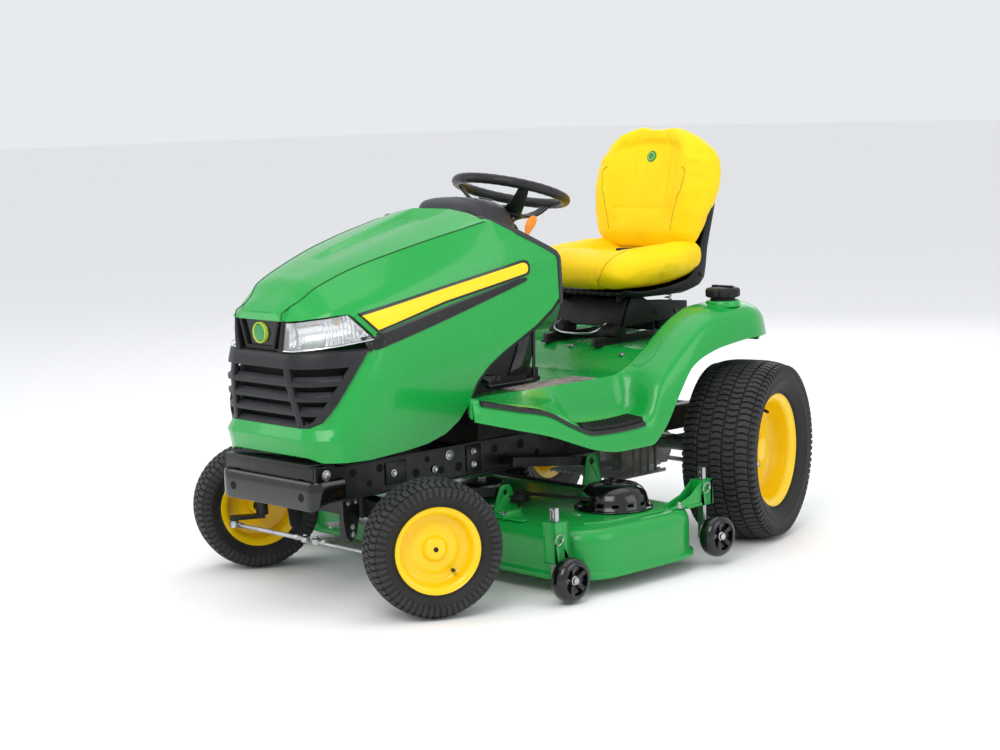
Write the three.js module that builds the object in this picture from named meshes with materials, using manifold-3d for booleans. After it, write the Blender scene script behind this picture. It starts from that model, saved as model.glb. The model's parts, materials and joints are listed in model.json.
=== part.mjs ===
// Riding lawn mower: a garden tractor with four-wheel steering and a 48-inch, three-blade mower deck.
// Millimetres, +Z up. The tractor faces -Y and its left side is +X; the floor is z = 0.
// Inside the "machine" group x = 0 is the tractor's centre plane and y = 0 is midway between the axles.
import * as THREE from "three";
import { mergeVertices } from "three/addons/utils/BufferGeometryUtils.js";
import Module from "manifold-3d";

const wasm = await Module();
wasm.setup();

// ---------------------------------------------------------------- driving dimensions
const GAP = 0.4; // clearance between faces that touch on the real machine
const WHEELBASE = 1290;
const FRONT_AXLE_Y = -WHEELBASE / 2;
const REAR_AXLE_Y = WHEELBASE / 2;
const MACHINE_OFFSET_X = 69; // centre plane to the middle of the overall width, with the discharge chute
const MACHINE_OFFSET_Y = -38;

const FRONT_TYRE = { radius: 196, width: 156, rim: 120 };
const REAR_TYRE = { radius: 289, width: 246, rim: 178 };
const WHEEL_SIDES = 24; // facets of a tyre and of the rim inside it
const FRONT_KINGPIN_X = 380;
const FRONT_WHEEL_OFFSET = 89; // kingpin to wheel centre
const REAR_KINGPIN_X = 319;
const REAR_WHEEL_OFFSET = 156;
const FRONT_STEER = THREE.MathUtils.degToRad(-26); // steered to the right, as the machine stands
const REAR_STEER = THREE.MathUtils.degToRad(18);
const FRONT_ARM = 88; // steering arm, the same on both knuckles and on the sector plate
const REAR_ARM = 95;
const TIE_ROD_Z = 155;

const FRAME = { railIn: 165, railOut: 190, bottom: 310, top: 415, front: -785, rear: 800 };
const AXLE_PIVOT_Z = 268;
const SECTOR_Y = -565;

const COLUMN = { y: 103, z: 1149, tilt: THREE.MathUtils.degToRad(16.5) }; // centre of the wheel's rim
const COLUMN_LINE = [-800, 200].map((along) => [
  0,
  COLUMN.y + along * Math.sin(COLUMN.tilt),
  COLUMN.z + along * Math.cos(COLUMN.tilt),
]);
const STEERING_WHEEL_RADIUS = 174;
const THROTTLE = { x: 170, y: -6, z: 1006 };
const HEIGHT_KNOB = { x: 150, y: 20 };

const DECK = { halfWidth: 666, front: -300, rear: 262, bottom: 48, top: 190, corner: 150, wall: 4 };
const SPINDLE_X = 450;
const SPINDLE_Y = { outer: 45, centre: -60 };
const COVER = { x: 460, y: 58, radius: 120 };
const PULLEY_RADIUS = 58;
const BLADE_LENGTH = 410;
const LIFT_ARM = { y: 315, z: -40 }; // pivot on the frame to pin on the deck, the same front and rear
const FRONT_PIVOT = { y: -500, z: 290 };
const REAR_PIVOT = { y: -150, z: 340 };
const GAUGE_WHEEL = { radius: 65, width: 56, x: 664 };
const FRONT_GAUGE = { y: -342, z: 70 };
const REAR_GAUGE = { y: 300, z: 92 };

const SEAT_BASE_Z = 664;
const SEAT_PAN_Z = 790;
const PLATFORM_Z = 636;
const FUEL_NECK = { x: 412, y: 640, top: 786 };

// ---------------------------------------------------------------- solids
// Every helper below returns a manifold solid, so that pieces can be joined and cut.
function solid(geometry) {
  const bare = geometry.index ? geometry.toNonIndexed() : geometry.clone();
  for (const name of Object.keys(bare.attributes)) {
    if (name !== "position") bare.deleteAttribute(name);
  }
  const merged = mergeVertices(bare, 1e-3);
  const vertProperties = merged.attributes.position.array;
  const made = (triVerts) => new wasm.Manifold(new wasm.Mesh({ numProp: 3, vertProperties, triVerts }));
  const triangles = new Uint32Array(merged.index.array);
  const body = made(triangles);
  // An outline drawn clockwise gives a body that faces inwards: its triangles are turned round.
  return body.volume() < 0 ? made(triangles.reverse()) : body;
}

function geometryOf(made) {
  const { numProp, numVert, vertProperties, triVerts } = made.getMesh();
  const positions = new Float32Array(numVert * 3);
  for (let i = 0; i < numVert; i++) {
    positions.set(vertProperties.subarray(i * numProp, i * numProp + 3), i * 3);
  }
  const geometry = new THREE.BufferGeometry();
  geometry.setAttribute("position", new THREE.BufferAttribute(positions, 3));
  geometry.setIndex(new THREE.BufferAttribute(new Uint32Array(triVerts), 1));
  const flat = geometry.toNonIndexed();
  flat.computeVertexNormals();
  return flat;
}

const join = (...parts) => parts.reduce((sum, part) => sum.add(part));
const cut = (body, ...tools) => tools.reduce((left, tool) => left.subtract(tool), body);

// A box between two corners.
function slab(x0, x1, y0, y1, z0, z1) {
  const box = new THREE.BoxGeometry(x1 - x0, y1 - y0, z1 - z0);
  return solid(box.translate((x0 + x1) / 2, (y0 + y1) / 2, (z0 + z1) / 2));
}

// A cylinder from one point to another.
function rod(radius, from, to, sides = 16) {
  const start = new THREE.Vector3(...from);
  const along = new THREE.Vector3(...to).sub(start);
  const cylinder = new THREE.CylinderGeometry(radius, radius, along.length(), sides);
  const turn = new THREE.Quaternion().setFromUnitVectors(
    new THREE.Vector3(0, 1, 0),
    along.clone().normalize(),
  );
  cylinder.applyQuaternion(turn);
  const middle = start.addScaledVector(along, 0.5);
  return solid(cylinder.translate(middle.x, middle.y, middle.z));
}

function extruded(points, depth, holes = []) {
  const shape = new THREE.Shape(points.map(([a, b]) => new THREE.Vector2(a, b)));
  for (const hole of holes) {
    shape.holes.push(new THREE.Path(hole.map(([a, b]) => new THREE.Vector2(a, b))));
  }
  return new THREE.ExtrudeGeometry(shape, { depth, bevelEnabled: false, steps: 1 });
}

// Outlines drawn in the side view (y, z), the front view (x, z) and the plan view (x, y).
function sidePlate(points, x0, x1) {
  const matrix = new THREE.Matrix4().set(0, 0, 1, x0, 1, 0, 0, 0, 0, 1, 0, 0, 0, 0, 0, 1);
  return solid(extruded(points, x1 - x0).applyMatrix4(matrix));
}

function frontPlate(points, y0, y1) {
  const matrix = new THREE.Matrix4().set(1, 0, 0, 0, 0, 0, -1, y1, 0, 1, 0, 0, 0, 0, 0, 1);
  return solid(extruded(points, y1 - y0).applyMatrix4(matrix));
}

function planPlate(points, z0, z1, holes = []) {
  return solid(extruded(points, z1 - z0, holes).translate(0, 0, z0));
}

// A turned piece: [radius, height] points around +Z, closed on themselves or on the axis.
function turned(profile, sides = 24) {
  return solid(
    new THREE.LatheGeometry(
      profile.map(([r, h]) => new THREE.Vector2(r, h)),
      sides,
    ).rotateX(Math.PI / 2),
  );
}

// The same, around +X.
const turnedX = (profile, sides) => turned(profile, sides).rotate([0, 90, 0]);

// A skin through rings of [x, y, z] points, each with the same number of points, closed by flat ends.
function loft(rings) {
  const count = rings[0].length;
  const positions = rings.flat(2);
  const indices = [];
  for (let r = 0; r + 1 < rings.length; r++) {
    for (let i = 0; i < count; i++) {
      const a = r * count + i;
      const b = r * count + ((i + 1) % count);
      indices.push(a, b, a + count, b, b + count, a + count);
    }
  }
  for (const [ring, first, turn] of [
    [rings[0], 0, false],
    [rings.at(-1), (rings.length - 1) * count, true],
  ]) {
    for (const [a, b, c] of capTriangles(ring)) {
      indices.push(first + a, first + (turn ? b : c), first + (turn ? c : b));
    }
  }
  const geometry = new THREE.BufferGeometry();
  geometry.setAttribute("position", new THREE.Float32BufferAttribute(positions, 3));
  geometry.setIndex(indices);
  return solid(geometry);
}

// Triangles of a flat ring, turned anticlockwise about the ring's own normal.
function capTriangles(ring) {
  const points = ring.map((p) => new THREE.Vector3(...p));
  const normal = new THREE.Vector3();
  points.forEach((p, i) => normal.add(p.clone().cross(points[(i + 1) % points.length])));
  normal.normalize();
  const u = points[1].clone().sub(points[0]).normalize();
  const v = normal.clone().cross(u);
  const flat = points.map((p) => new THREE.Vector2(p.dot(u), p.dot(v)));
  return THREE.ShapeUtils.triangulateShape(flat, []);
}

// A round bar bent along points.
function bentBar(points, radius, sides = 8, steps = 12) {
  const curve = new THREE.CatmullRomCurve3(points.map((p) => new THREE.Vector3(...p)));
  const section = new THREE.Shape();
  section.absarc(0, 0, radius, 0, Math.PI * 2, false);
  return solid(
    new THREE.ExtrudeGeometry(section, {
      steps,
      curveSegments: sides / 2,
      extrudePath: curve,
      bevelEnabled: false,
    }),
  );
}

// Points on an arc in a plane, from one angle to another in degrees.
function arc(cx, cy, radius, from, to, count) {
  return Array.from({ length: count }, (_, i) => {
    const angle = THREE.MathUtils.degToRad(from + ((to - from) * i) / (count - 1));
    return [cx + radius * Math.cos(angle), cy + radius * Math.sin(angle)];
  });
}

// A rectangle with round corners, anticlockwise.
function roundedRectangle(x0, x1, y0, y1, r, count = 5) {
  return [
    ...arc(x1 - r, y1 - r, r, 0, 90, count),
    ...arc(x0 + r, y1 - r, r, 90, 180, count),
    ...arc(x0 + r, y0 + r, r, 180, 270, count),
    ...arc(x1 - r, y0 + r, r, 270, 360, count),
  ];
}

// ---------------------------------------------------------------- materials
const finish = (color, roughness, metalness = 0) =>
  new THREE.MeshStandardMaterial({ color, roughness, metalness });

const paint = {
  green: () => finish(0x1f9b3a, 0.3),
  lightGreen: () => finish(0x3fae4a, 0.35),
  yellow: () => finish(0xf6d21b, 0.35),
  seat: () => finish(0xf3d313, 0.55),
  black: () => finish(0x1c1d1f, 0.5),
  charcoal: () => finish(0x3a3c3f, 0.6),
  rubber: () => finish(0x222326, 0.85),
  lens: () => finish(0xdfe5e8, 0.1),
  steel: () => finish(0xb9bdc2, 0.35, 0.9),
  aluminium: () => finish(0x9a9ea3, 0.45, 0.8),
  orange: () => finish(0xf08a1d, 0.5),
};

function node(name, made, material) {
  const mesh = new THREE.Mesh(geometryOf(made), material);
  mesh.name = name;
  return mesh;
}

function group(position, rotation, ...children) {
  const made = new THREE.Group();
  made.position.set(...position);
  made.rotation.set(...rotation);
  made.add(...children);
  return made;
}

// ---------------------------------------------------------------- chassis
// Two side rails, cross members, the stamped front bracket and the hangers of the front axle.
function frame() {
  const { railIn, railOut, bottom, top, front, rear } = FRAME;
  const web = 7;
  const webX = railOut - web + 2; // cross members reach into the webs of the rails
  const sideView = [
    [front, bottom],
    [480, bottom],
    [520, bottom + 22],
    [rear, bottom + 22],
    [rear, top],
    [front, top],
  ];
  const rails = [-1, 1].map((side) => {
    const rail = sidePlate(sideView, side > 0 ? railIn : -railOut, side > 0 ? railOut : -railIn);
    const inner = sidePlate(
      [
        [front - 1, bottom + web],
        [476, bottom + web],
        [516, bottom + 22 + web],
        [rear + 1, bottom + 22 + web],
        [rear + 1, top - web],
        [front - 1, top - web],
      ],
      side > 0 ? railIn - 1 : -railOut + web,
      side > 0 ? railOut - web : -railIn + 1,
    );
    return cut(rail, inner);
  });
  const cross = [
    [-785, -765],
    [-345, -325],
    [180, 200],
    [780, 800],
  ].map(([y0, y1]) => slab(-webX, webX, y0, y1, bottom + 26, top - 12));
  const engineBed = slab(-webX, webX, -640, -330, top - 8, top);
  const hangers = [-1, 1].map((side) => {
    const y = FRONT_AXLE_Y + side * 34;
    const plate = frontPlate(
      [
        [-45, AXLE_PIVOT_Z - 30],
        [45, AXLE_PIVOT_Z - 30],
        [62, bottom + 40],
        [62, top - 4],
        [-62, top - 4],
        [-62, bottom + 40],
      ],
      y - 4,
      y + 4,
    );
    return plate;
  });
  const hangerBed = slab(-webX, webX, -690, -600, top - 12, top - 2);
  const pivot = rod(10, [0, -683, AXLE_PIVOT_Z], [0, -607, AXLE_PIVOT_Z], 14);
  const sectorPost = cut(
    join(rod(16, [0, SECTOR_Y, 205], [0, SECTOR_Y, top - 3], 14), slab(-20, 20, -608, SECTOR_Y, 330, 345)),
    rod(8.6, [0, SECTOR_Y, 200], [0, SECTOR_Y, 262], 14),
  );
  const bumperFace = frontPlate(
    [
      [-196, 300],
      [196, 300],
      [214, 330],
      [214, 424],
      [-214, 424],
      [-214, 330],
    ],
    -896,
    -888,
  );
  const bumperHoles = [-150, 150].map((x) => rod(16, [x, -900, 385], [x, -880, 385], 14));
  const bumperSides = [-1, 1].map((side) =>
    sidePlate(
      [
        [-894, 302],
        [-780, 318],
        [-780, 410],
        [-894, 422],
      ],
      side > 0 ? 184 : -192,
      side > 0 ? 192 : -184,
    ),
  );
  const bumperLedge = slab(-190, 190, -892, -770, 330, 338);
  const steeringHanger = slab(84, 132, -712, -704, 172, 332);
  const hangerFoot = slab(84, webX, -712, -680, 322, 332);
  const hitch = cut(
    slab(-110, 110, 798, 880, bottom + 24, bottom + 32),
    rod(10, [0, 850, bottom + 20], [0, 850, bottom + 40]),
  );
  const body = join(
    ...rails,
    ...cross,
    engineBed,
    hangerBed,
    ...hangers,
    pivot,
    sectorPost,
    bumperFace,
    ...bumperSides,
    bumperLedge,
    steeringHanger,
    hangerFoot,
    hitch,
  );
  const shaftHoles = [-1, 1].map((side) =>
    rod(12.5, [side * 150, REAR_PIVOT.y, REAR_PIVOT.z], [side * 200, REAR_PIVOT.y, REAR_PIVOT.z]),
  );
  return cut(body, ...bumperHoles, ...shaftHoles);
}

// A V-twin on its side plate, with its fan housing and air cleaner.
function engine() {
  const y = -470;
  const base = FRAME.top + GAP;
  const crankcase = turned(
    [
      [0, 0],
      [128, 0],
      [128, 40],
      [112, 55],
      [112, 165],
      [0, 165],
    ],
    20,
  ).translate([0, y, base]);
  const cylinders = [-1, 1].map((side) => {
    const fins = [0, 1, 2].map((i) => slab(90 + i * 30, 104 + i * 30, -66, 66, 62, 158));
    const bore = slab(60, 176, -48, 48, 74, 146);
    const head = slab(172, 200, -58, 58, 66, 154);
    return join(bore, head, ...fins)
      .rotate([0, 0, side > 0 ? -38 : -142])
      .translate([0, y, base]);
  });
  const fan = turned(
    [
      [0, 160],
      [150, 160],
      [168, 180],
      [168, 240],
      [140, 262],
      [0, 262],
    ],
    20,
  ).translate([0, y, base]);
  const airCleaner = slab(-90, 90, y + 20, y + 150, base + 225, base + 330);
  const starter = rod(34, [-40, y + 150, base + 20], [-40, y + 150, base + 150], 12);
  const starterMount = slab(-60, 20, y + 90, y + 150, base + 60, base + 110);
  return join(crankcase, ...cylinders, fan, airCleaner, starter, starterMount);
}

// Hydrostatic transaxle: ribbed housing, axle tubes and the bosses that hold the rear kingpins.
function transaxle() {
  const housing = sidePlate(
    [
      [480, 215],
      [700, 205],
      [722, 240],
      [722, 300],
      [690, 322],
      [500, 322],
      [470, 290],
    ],
    -104,
    104,
  );
  const ribs = [-80, -40, 0, 40, 80].map((x) => slab(x - 4, x + 4, 500, 690, 196, 216));
  const pump = rod(52, [40, 440, 248], [40, 440, 326], 16);
  const pumpNeck = slab(0, 90, 440, 490, 252, 318);
  const fan = rod(76, [40, 440, 333], [40, 440, 345], 16);
  const fanShaft = rod(10, [40, 440, 320], [40, 440, 340], 12);
  const tube = rod(27, [-REAR_KINGPIN_X, REAR_AXLE_Y, 290], [REAR_KINGPIN_X, REAR_AXLE_Y, 290], 14);
  const bosses = [-1, 1].map((side) => {
    const x = side * REAR_KINGPIN_X;
    return rod(28, [x, REAR_AXLE_Y, 245], [x, REAR_AXLE_Y, 335], 16);
  });
  const bores = [-1, 1].map((side) => {
    const x = side * REAR_KINGPIN_X;
    return rod(11, [x, REAR_AXLE_Y, 240], [x, REAR_AXLE_Y, 340], 14);
  });
  const body = join(housing, ...ribs, pump, pumpNeck, fan, fanShaft, tube, ...bosses);
  return cut(body, ...bores);
}

// The pedestal below the dash: two side panels and a rear wall, open to the engine bay.
function pedestal() {
  const outline = [
    [-262, FRAME.top + GAP + 2],
    [-70, FRAME.top + GAP + 2],
    [-60, 560],
    [-20, 660],
    [-4, 830],
    [-8, 925],
    [-232, 1048],
    [-262, 1048],
  ];
  const inside = [
    [-300, FRAME.top - 10],
    [-76, FRAME.top - 10],
    [-66, 562],
    [-26, 662],
    [-10, 830],
    [-14, 921],
    [-236, 1042],
    [-300, 1042],
  ];
  const columnHole = rod(30, ...COLUMN_LINE, 14);
  return cut(sidePlate(outline, -205, 205), sidePlate(inside, -199, 199), columnHole);
}

// The slanted dash that closes the rear of the hood, with the raised instrument cowl in its middle.
function dashPanel() {
  const slope = [
    [-221, 1056],
    [6, 931],
    [22, 931],
    [32, 952],
    [-120, 1046],
    [-221, 1072],
  ];
  const skirt = sidePlate(
    [
      [8, 812],
      [18, 812],
      [28, 940],
      [10, 940],
    ],
    -270,
    270,
  );
  const slopedPlate = join(sidePlate(slope, -290, 290), skirt).intersect(
    frontPlate(
      [
        [-214, 1110],
        [-285, 930],
        [-262, 805],
        [262, 805],
        [285, 930],
        [214, 1110],
      ],
      -400,
      200,
    ),
  );
  const cowl = loft(
    [
      [-128, 150, 1072, 40],
      [-100, 146, 1072, 62],
      [-30, 120, 1048, 74],
      [40, 80, 1004, 52],
      [62, 66, 996, 24],
    ].map(([y, half, z, height]) => [
      [-half, y, z - 80],
      [-half, y, z + height * 0.5],
      [-half * 0.7, y, z + height * 0.92],
      [0, y, z + height],
      [half * 0.7, y, z + height * 0.92],
      [half, y, z + height * 0.5],
      [half, y, z - 80],
    ]),
  );
  const under = sidePlate(
    [
      [-400, 700],
      [200, 700],
      [200, 830],
      [6, 931],
      [-226, 1058],
      [-400, 1058],
    ],
    -200,
    200,
  );
  const columnHole = rod(26, ...COLUMN_LINE, 16);
  return cut(join(slopedPlate, cut(cowl, under)), columnHole);
}

// Seat platform, rear fenders and footrests in one moulding, from stations along the tractor.
// Each station is y, floor height, then the half section from the platform edge out to the skirt.
const FENDER_STATIONS = [
  { y: -535, floor: 590, edge: [330, 590], lip: [345, 596], crown: [420, 602], brow: [484, 600], hem: [494, 534] },
  { y: -380, floor: 562, edge: [330, 562], lip: [343, 577], crown: [412, 572], brow: [486, 562], hem: [500, 492] },
  { y: -240, floor: 562, edge: [330, 562], lip: [343, 577], crown: [412, 556], brow: [486, 530], hem: [500, 454] },
  { y: -130, floor: 562, edge: [330, 562], lip: [343, 577], crown: [408, 520], brow: [486, 477], hem: [500, 415] },
  { y: -50, floor: 562, edge: [330, 562], lip: [343, 577], crown: [398, 462], brow: [486, 448], hem: [500, 388] },
  { y: 60, floor: 562, edge: [330, 562], lip: [343, 577], crown: [402, 458], brow: [486, 444], hem: [500, 370] },
  { y: 190, floor: 562, edge: [328, 564], lip: [344, 580], crown: [412, 468], brow: [486, 450], hem: [501, 370] },
  { y: 250, floor: 568, edge: [325, 572], lip: [346, 604], crown: [420, 578], brow: [486, 540], hem: [502, 412] },
  { y: 330, floor: 612, edge: [320, 614], lip: [350, 654], crown: [430, 648], brow: [487, 620], hem: [503, 525] },
  { y: 385, floor: PLATFORM_Z, edge: [315, 638], lip: [350, 694], crown: [432, 690], brow: [488, 664], hem: [503, 592] },
  { y: 450, floor: PLATFORM_Z, edge: [315, 642], lip: [350, 734], crown: [432, 730], brow: [488, 706], hem: [503, 622] },
  { y: 540, floor: PLATFORM_Z, edge: [315, 648], lip: [348, 764], crown: [430, 762], brow: [487, 738], hem: [502, 642] },
  { y: 700, floor: PLATFORM_Z, edge: [315, 650], lip: [345, 772], crown: [422, 770], brow: [480, 746], hem: [497, 655] },
  { y: 790, floor: PLATFORM_Z, edge: [312, 650], lip: [340, 756], crown: [402, 752], brow: [450, 728], hem: [466, 654] },
  { y: 846, floor: PLATFORM_Z, edge: [300, 646], lip: [322, 716], crown: [366, 710], brow: [396, 690], hem: [410, 650] },
];

function fenderDeck() {
  const wall = 5;
  const sections = (drop, squeeze) =>
    FENDER_STATIONS.map(({ y, floor, edge, lip, crown, brow, hem }) => [
      [0, y, floor - drop],
      [edge[0] + squeeze * 0.3, y, edge[1] - drop],
      [lip[0] + squeeze * 0.8, y, lip[1] - drop],
      [crown[0] - squeeze * 0.1, y, crown[1] - drop],
      [brow[0] - squeeze, y, brow[1] - drop],
      [hem[0] - squeeze * 1.1, y, hem[1]],
    ]);
  const outer = sections(0, 0);
  const inner = sections(wall, wall);
  const mirror = ([x, y, z]) => [-x, y, z];
  const rings = outer.map((half, i) => [
    ...half.slice(1).reverse().map(mirror),
    ...half,
    ...inner[i].slice().reverse(),
    ...inner[i].slice(1).map(mirror),
  ]);
  const skin = loft(rings.reverse());
  const tail = frontPlate(
    [
      [-404, 655],
      [-390, 626],
      [390, 626],
      [404, 655],
      [300, 700],
      [296, PLATFORM_Z - 1],
      [-296, PLATFORM_Z - 1],
      [-300, 700],
    ],
    838,
    846,
  );
  const rails = [-1, 1].map((side) =>
    slab(side * 115 - 14, side * 115 + 14, 352, 800, PLATFORM_Z - 4, SEAT_BASE_Z - GAP),
  );
  const supports = [-1, 1].map((side) =>
    slab(side * 178 - 10, side * 178 + 10, 100, 780, FRAME.top + GAP, 560),
  );
  const supportWebs = [
    slab(-188, 188, 100, 112, 500, 560),
    slab(-188, 188, 700, 712, 500, PLATFORM_Z - 2),
    slab(-188, -168, 380, 780, 556, PLATFORM_Z - 2),
    slab(168, 188, 380, 780, 556, PLATFORM_Z - 2),
  ];
  const neck = rod(40, [FUEL_NECK.x, FUEL_NECK.y, 700], [FUEL_NECK.x, FUEL_NECK.y, FUEL_NECK.top], 20);
  const neckBore = rod(32, [FUEL_NECK.x, FUEL_NECK.y, 690], [FUEL_NECK.x, FUEL_NECK.y, 800], 20);
  const neckPad = slab(FUEL_NECK.x - 30, FUEL_NECK.x + 30, FUEL_NECK.y - 40, FUEL_NECK.y + 40, 745, 768);
  const frontCut = planPlate(
    [
      [-212, -600],
      [212, -600],
      [212, -54],
      [-212, -54],
    ],
    300,
    800,
  );
  const noseCuts = [-1, 1].map((side) => {
    const corner = [
      [side * 200, -600],
      [side * 200, -330],
      [side * 318, -330],
      [side * 346, -384],
      [side * 430, -500],
      [side * 478, -536],
      [side * 540, -545],
      [side * 540, -600],
    ];
    return planPlate(side > 0 ? corner.reverse() : corner, 300, 800);
  });
  const knobHole = rod(12, [HEIGHT_KNOB.x, HEIGHT_KNOB.y, 540], [HEIGHT_KNOB.x, HEIGHT_KNOB.y, 580]);
  const body = join(skin, tail, ...rails, ...supports, ...supportWebs, neck, neckPad);
  return cut(body, frontCut, ...noseCuts, neckBore, knobHole);
}

function heightKnob() {
  const { x, y } = HEIGHT_KNOB;
  return join(
    rod(26, [x, y, 580], [x, y, 606], 10),
    rod(30, [x, y, 566], [x, y, 580.5], 16),
    rod(11.4, [x, y, 535], [x, y, 570], 12),
  );
}

// ---------------------------------------------------------------- hood
// Half sections from the top centre out and down: centre height, crease, shoulder, side and hem.
const HOOD_STATIONS = [
  { y: -917, top: 860, crease: [84, 852], shoulder: [104, 812], side: [132, 620], hem: [166, 440] },
  { y: -906, top: 876, crease: [102, 866], shoulder: [136, 826], side: [168, 620], hem: [200, 430] },
  { y: -872, top: 904, crease: [116, 888], shoulder: [176, 838], side: [212, 620], hem: [244, 430] },
  { y: -800, top: 944, crease: [138, 926], shoulder: [222, 856], side: [246, 620], hem: [266, 430] },
  { y: -700, top: 986, crease: [157, 966], shoulder: [250, 876], side: [268, 640], hem: [274, 430] },
  { y: -550, top: 1032, crease: [194, 1010], shoulder: [268, 905], side: [284, 660], hem: [280, 430] },
  { y: -350, top: 1106, crease: [228, 1056], shoulder: [282, 940], side: [294, 690], hem: [284, 430] },
  { y: -180, top: 1110, crease: [246, 1086], shoulder: [290, 965], side: [300, 740], hem: [290, 430] },
  { y: 4, top: 1110, crease: [252, 1092], shoulder: [296, 985], side: [302, 780], hem: [296, 430] },
];

function hoodLoft(inset) {
  const rings = HOOD_STATIONS.map(({ y, top, crease, shoulder, side, hem }, i) => {
    const back = i === 0 ? y + inset : y + inset * 0.6;
    const half = [
      [0, back, top - inset],
      [crease[0] - inset * 0.6, back, crease[1] - inset],
      [shoulder[0] - inset, back, shoulder[1] - inset * 0.5],
      [side[0] - inset, back, side[1]],
      [hem[0] - inset, back, hem[1] - inset * 4],
    ];
    return [...half, ...half.slice(1).reverse().map(([x, yy, z]) => [-x, yy, z])];
  });
  return loft(rings);
}

const HOOD_SIDE_VIEW = [
  [-930, 455],
  [-892, 450],
  [-868, 432],
  [-610, 440],
  [-462, 465],
  [-375, 545],
  [-338, 615],
  [-230, 694],
  [-100, 755],
  [-30, 800],
  [2, 830],
  [2, 963],
  [-236, 1086],
  [-236, 1200],
  [-930, 1200],
];
const GRILLE_SIDE_VIEW = [
  [-940, 530],
  [-885, 533],
  [-862, 550],
  [-828, 598],
  [-704, 765],
  [-700, 772],
  [-905, 747],
  [-940, 742],
];
const LIGHT_SIDE_VIEW = [
  [-940, 742],
  [-905, 747],
  [-700, 772],
  [-772, 846],
  [-906, 830],
  [-940, 828],
];

const halfSpace = (side, inner) =>
  slab(side > 0 ? inner : -400, side > 0 ? 400 : -inner, -1000, 100, 300, 1300);

function hoodShellWhole() {
  const rearTop = planPlate(
    [
      [-236, -240],
      [236, -240],
      [150, -146],
      [-150, -146],
    ],
    1030,
    1200,
  );
  const keep = join(sidePlate(HOOD_SIDE_VIEW, -400, 400), rearTop);
  const rearward = hoodLoft(5).add(slab(-240, 240, -250, 60, 400, 1040));
  return cut(hoodLoft(0).intersect(keep), rearward, slab(-190, 190, -880, 100, 300, 700));
}

function hoodPieces() {
  const whole = hoodShellWhole();
  const grilleRegion = join(
    sidePlate(GRILLE_SIDE_VIEW, -400, 400),
    sidePlate(
      [
        [-940, 738],
        [-860, 738],
        [-860, 828],
        [-940, 828],
      ],
      -97,
      97,
    ),
  );
  const lightRegion = [-1, 1].map((side) =>
    sidePlate(LIGHT_SIDE_VIEW, -400, 400).intersect(halfSpace(side, 98)),
  );
  const shell = cut(whole, grilleRegion, ...lightRegion);
  const shrink = (region, by) => {
    const box = region.boundingBox();
    const middle = [0, 1, 2].map((i) => (box.min[i] + box.max[i]) / 2);
    const size = [0, 1, 2].map((i) => box.max[i] - box.min[i]);
    return region
      .translate(middle.map((m) => -m))
      .scale(size.map((s) => (s - 2 * by) / s))
      .translate(middle);
  };
  const grille = cut(whole.intersect(shrink(grilleRegion, GAP)), ...lightRegion);
  const lights = lightRegion.map((region) => whole.intersect(shrink(region, GAP)));
  return { shell, grille, lights };
}

// ---------------------------------------------------------------- steering
function steeringWheel() {
  const rim = solid(new THREE.TorusGeometry(STEERING_WHEEL_RADIUS, 16.5, 6, 24));
  const spokes = [90, 210, 330].map((degrees) =>
    bentBar(
      [
        [STEERING_WHEEL_RADIUS - 4, 0, -4],
        [140, 0, -34],
        [90, 0, -66],
        [20, 0, -74],
      ],
      11,
      6,
      6,
    ).rotate([0, 0, degrees]),
  );
  const hub = rod(36, [0, 0, -92], [0, 0, -58], 18);
  const bore = rod(11.4, [0, 0, -110], [0, 0, -64], 14);
  return cut(join(rim, ...spokes, hub), bore);
}

const steeringShaft = () => rod(11, [0, 0, -720], [0, 0, -66], 14);

function sectorPlate() {
  const plate = planPlate(
    [
      [-22, 14],
      [-16, -FRONT_ARM - 12],
      [16, -FRONT_ARM - 12],
      [22, 14],
      [60, 46],
      [36, 62],
      [0, 66],
      [-36, 62],
      [-60, 46],
    ],
    186,
    194,
  );
  return join(plate, rod(8, [0, 0, 188], [0, 0, 255], 12), rod(9, [0, -FRONT_ARM, 180], [0, -FRONT_ARM, 190], 10));
}

function frontAxle() {
  const beam = frontPlate(
    [
      [-(FRONT_KINGPIN_X - 4), 222],
      [-150, 240],
      [150, 240],
      [FRONT_KINGPIN_X - 4, 222],
      [FRONT_KINGPIN_X - 4, 262],
      [150, 296],
      [-150, 296],
      [-(FRONT_KINGPIN_X - 4), 262],
    ],
    FRONT_AXLE_Y - 24,
    FRONT_AXLE_Y + 24,
  );
  const bosses = [-1, 1].map((side) => {
    const x = side * FRONT_KINGPIN_X;
    return rod(21, [x, FRONT_AXLE_Y, 216], [x, FRONT_AXLE_Y, 276], 16);
  });
  const bores = [-1, 1].map((side) => {
    const x = side * FRONT_KINGPIN_X;
    return rod(12.4, [x, FRONT_AXLE_Y, 200], [x, FRONT_AXLE_Y, 290], 16);
  });
  const pivotBore = rod(10.5, [0, FRONT_AXLE_Y - 40, AXLE_PIVOT_Z], [0, FRONT_AXLE_Y + 40, AXLE_PIVOT_Z], 14);
  return cut(join(beam, ...bosses), ...bores, pivotBore);
}

// Kingpin, stub axle and steering arm. Local frame: the kingpin is the Z axis, the wheel is on +X.
function frontKnuckle(side) {
  const z = FRONT_TYRE.radius;
  const kingpin = rod(12, [0, 0, z - 14], [0, 0, 292], 16);
  const collar = rod(19, [0, 0, z - 17], [0, 0, 215.5], 16);
  const stub = rod(13, [0, 0, z], [side * (FRONT_WHEEL_OFFSET + 34), 0, z], 14);
  const armPlate = slab(-14, 14, -FRONT_ARM - 2, 6, 168, 181);
  const armEnd = rod(14, [0, -FRONT_ARM, 168], [0, -FRONT_ARM, 181], 12);
  return join(kingpin, collar, stub, armPlate, armEnd);
}

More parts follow.
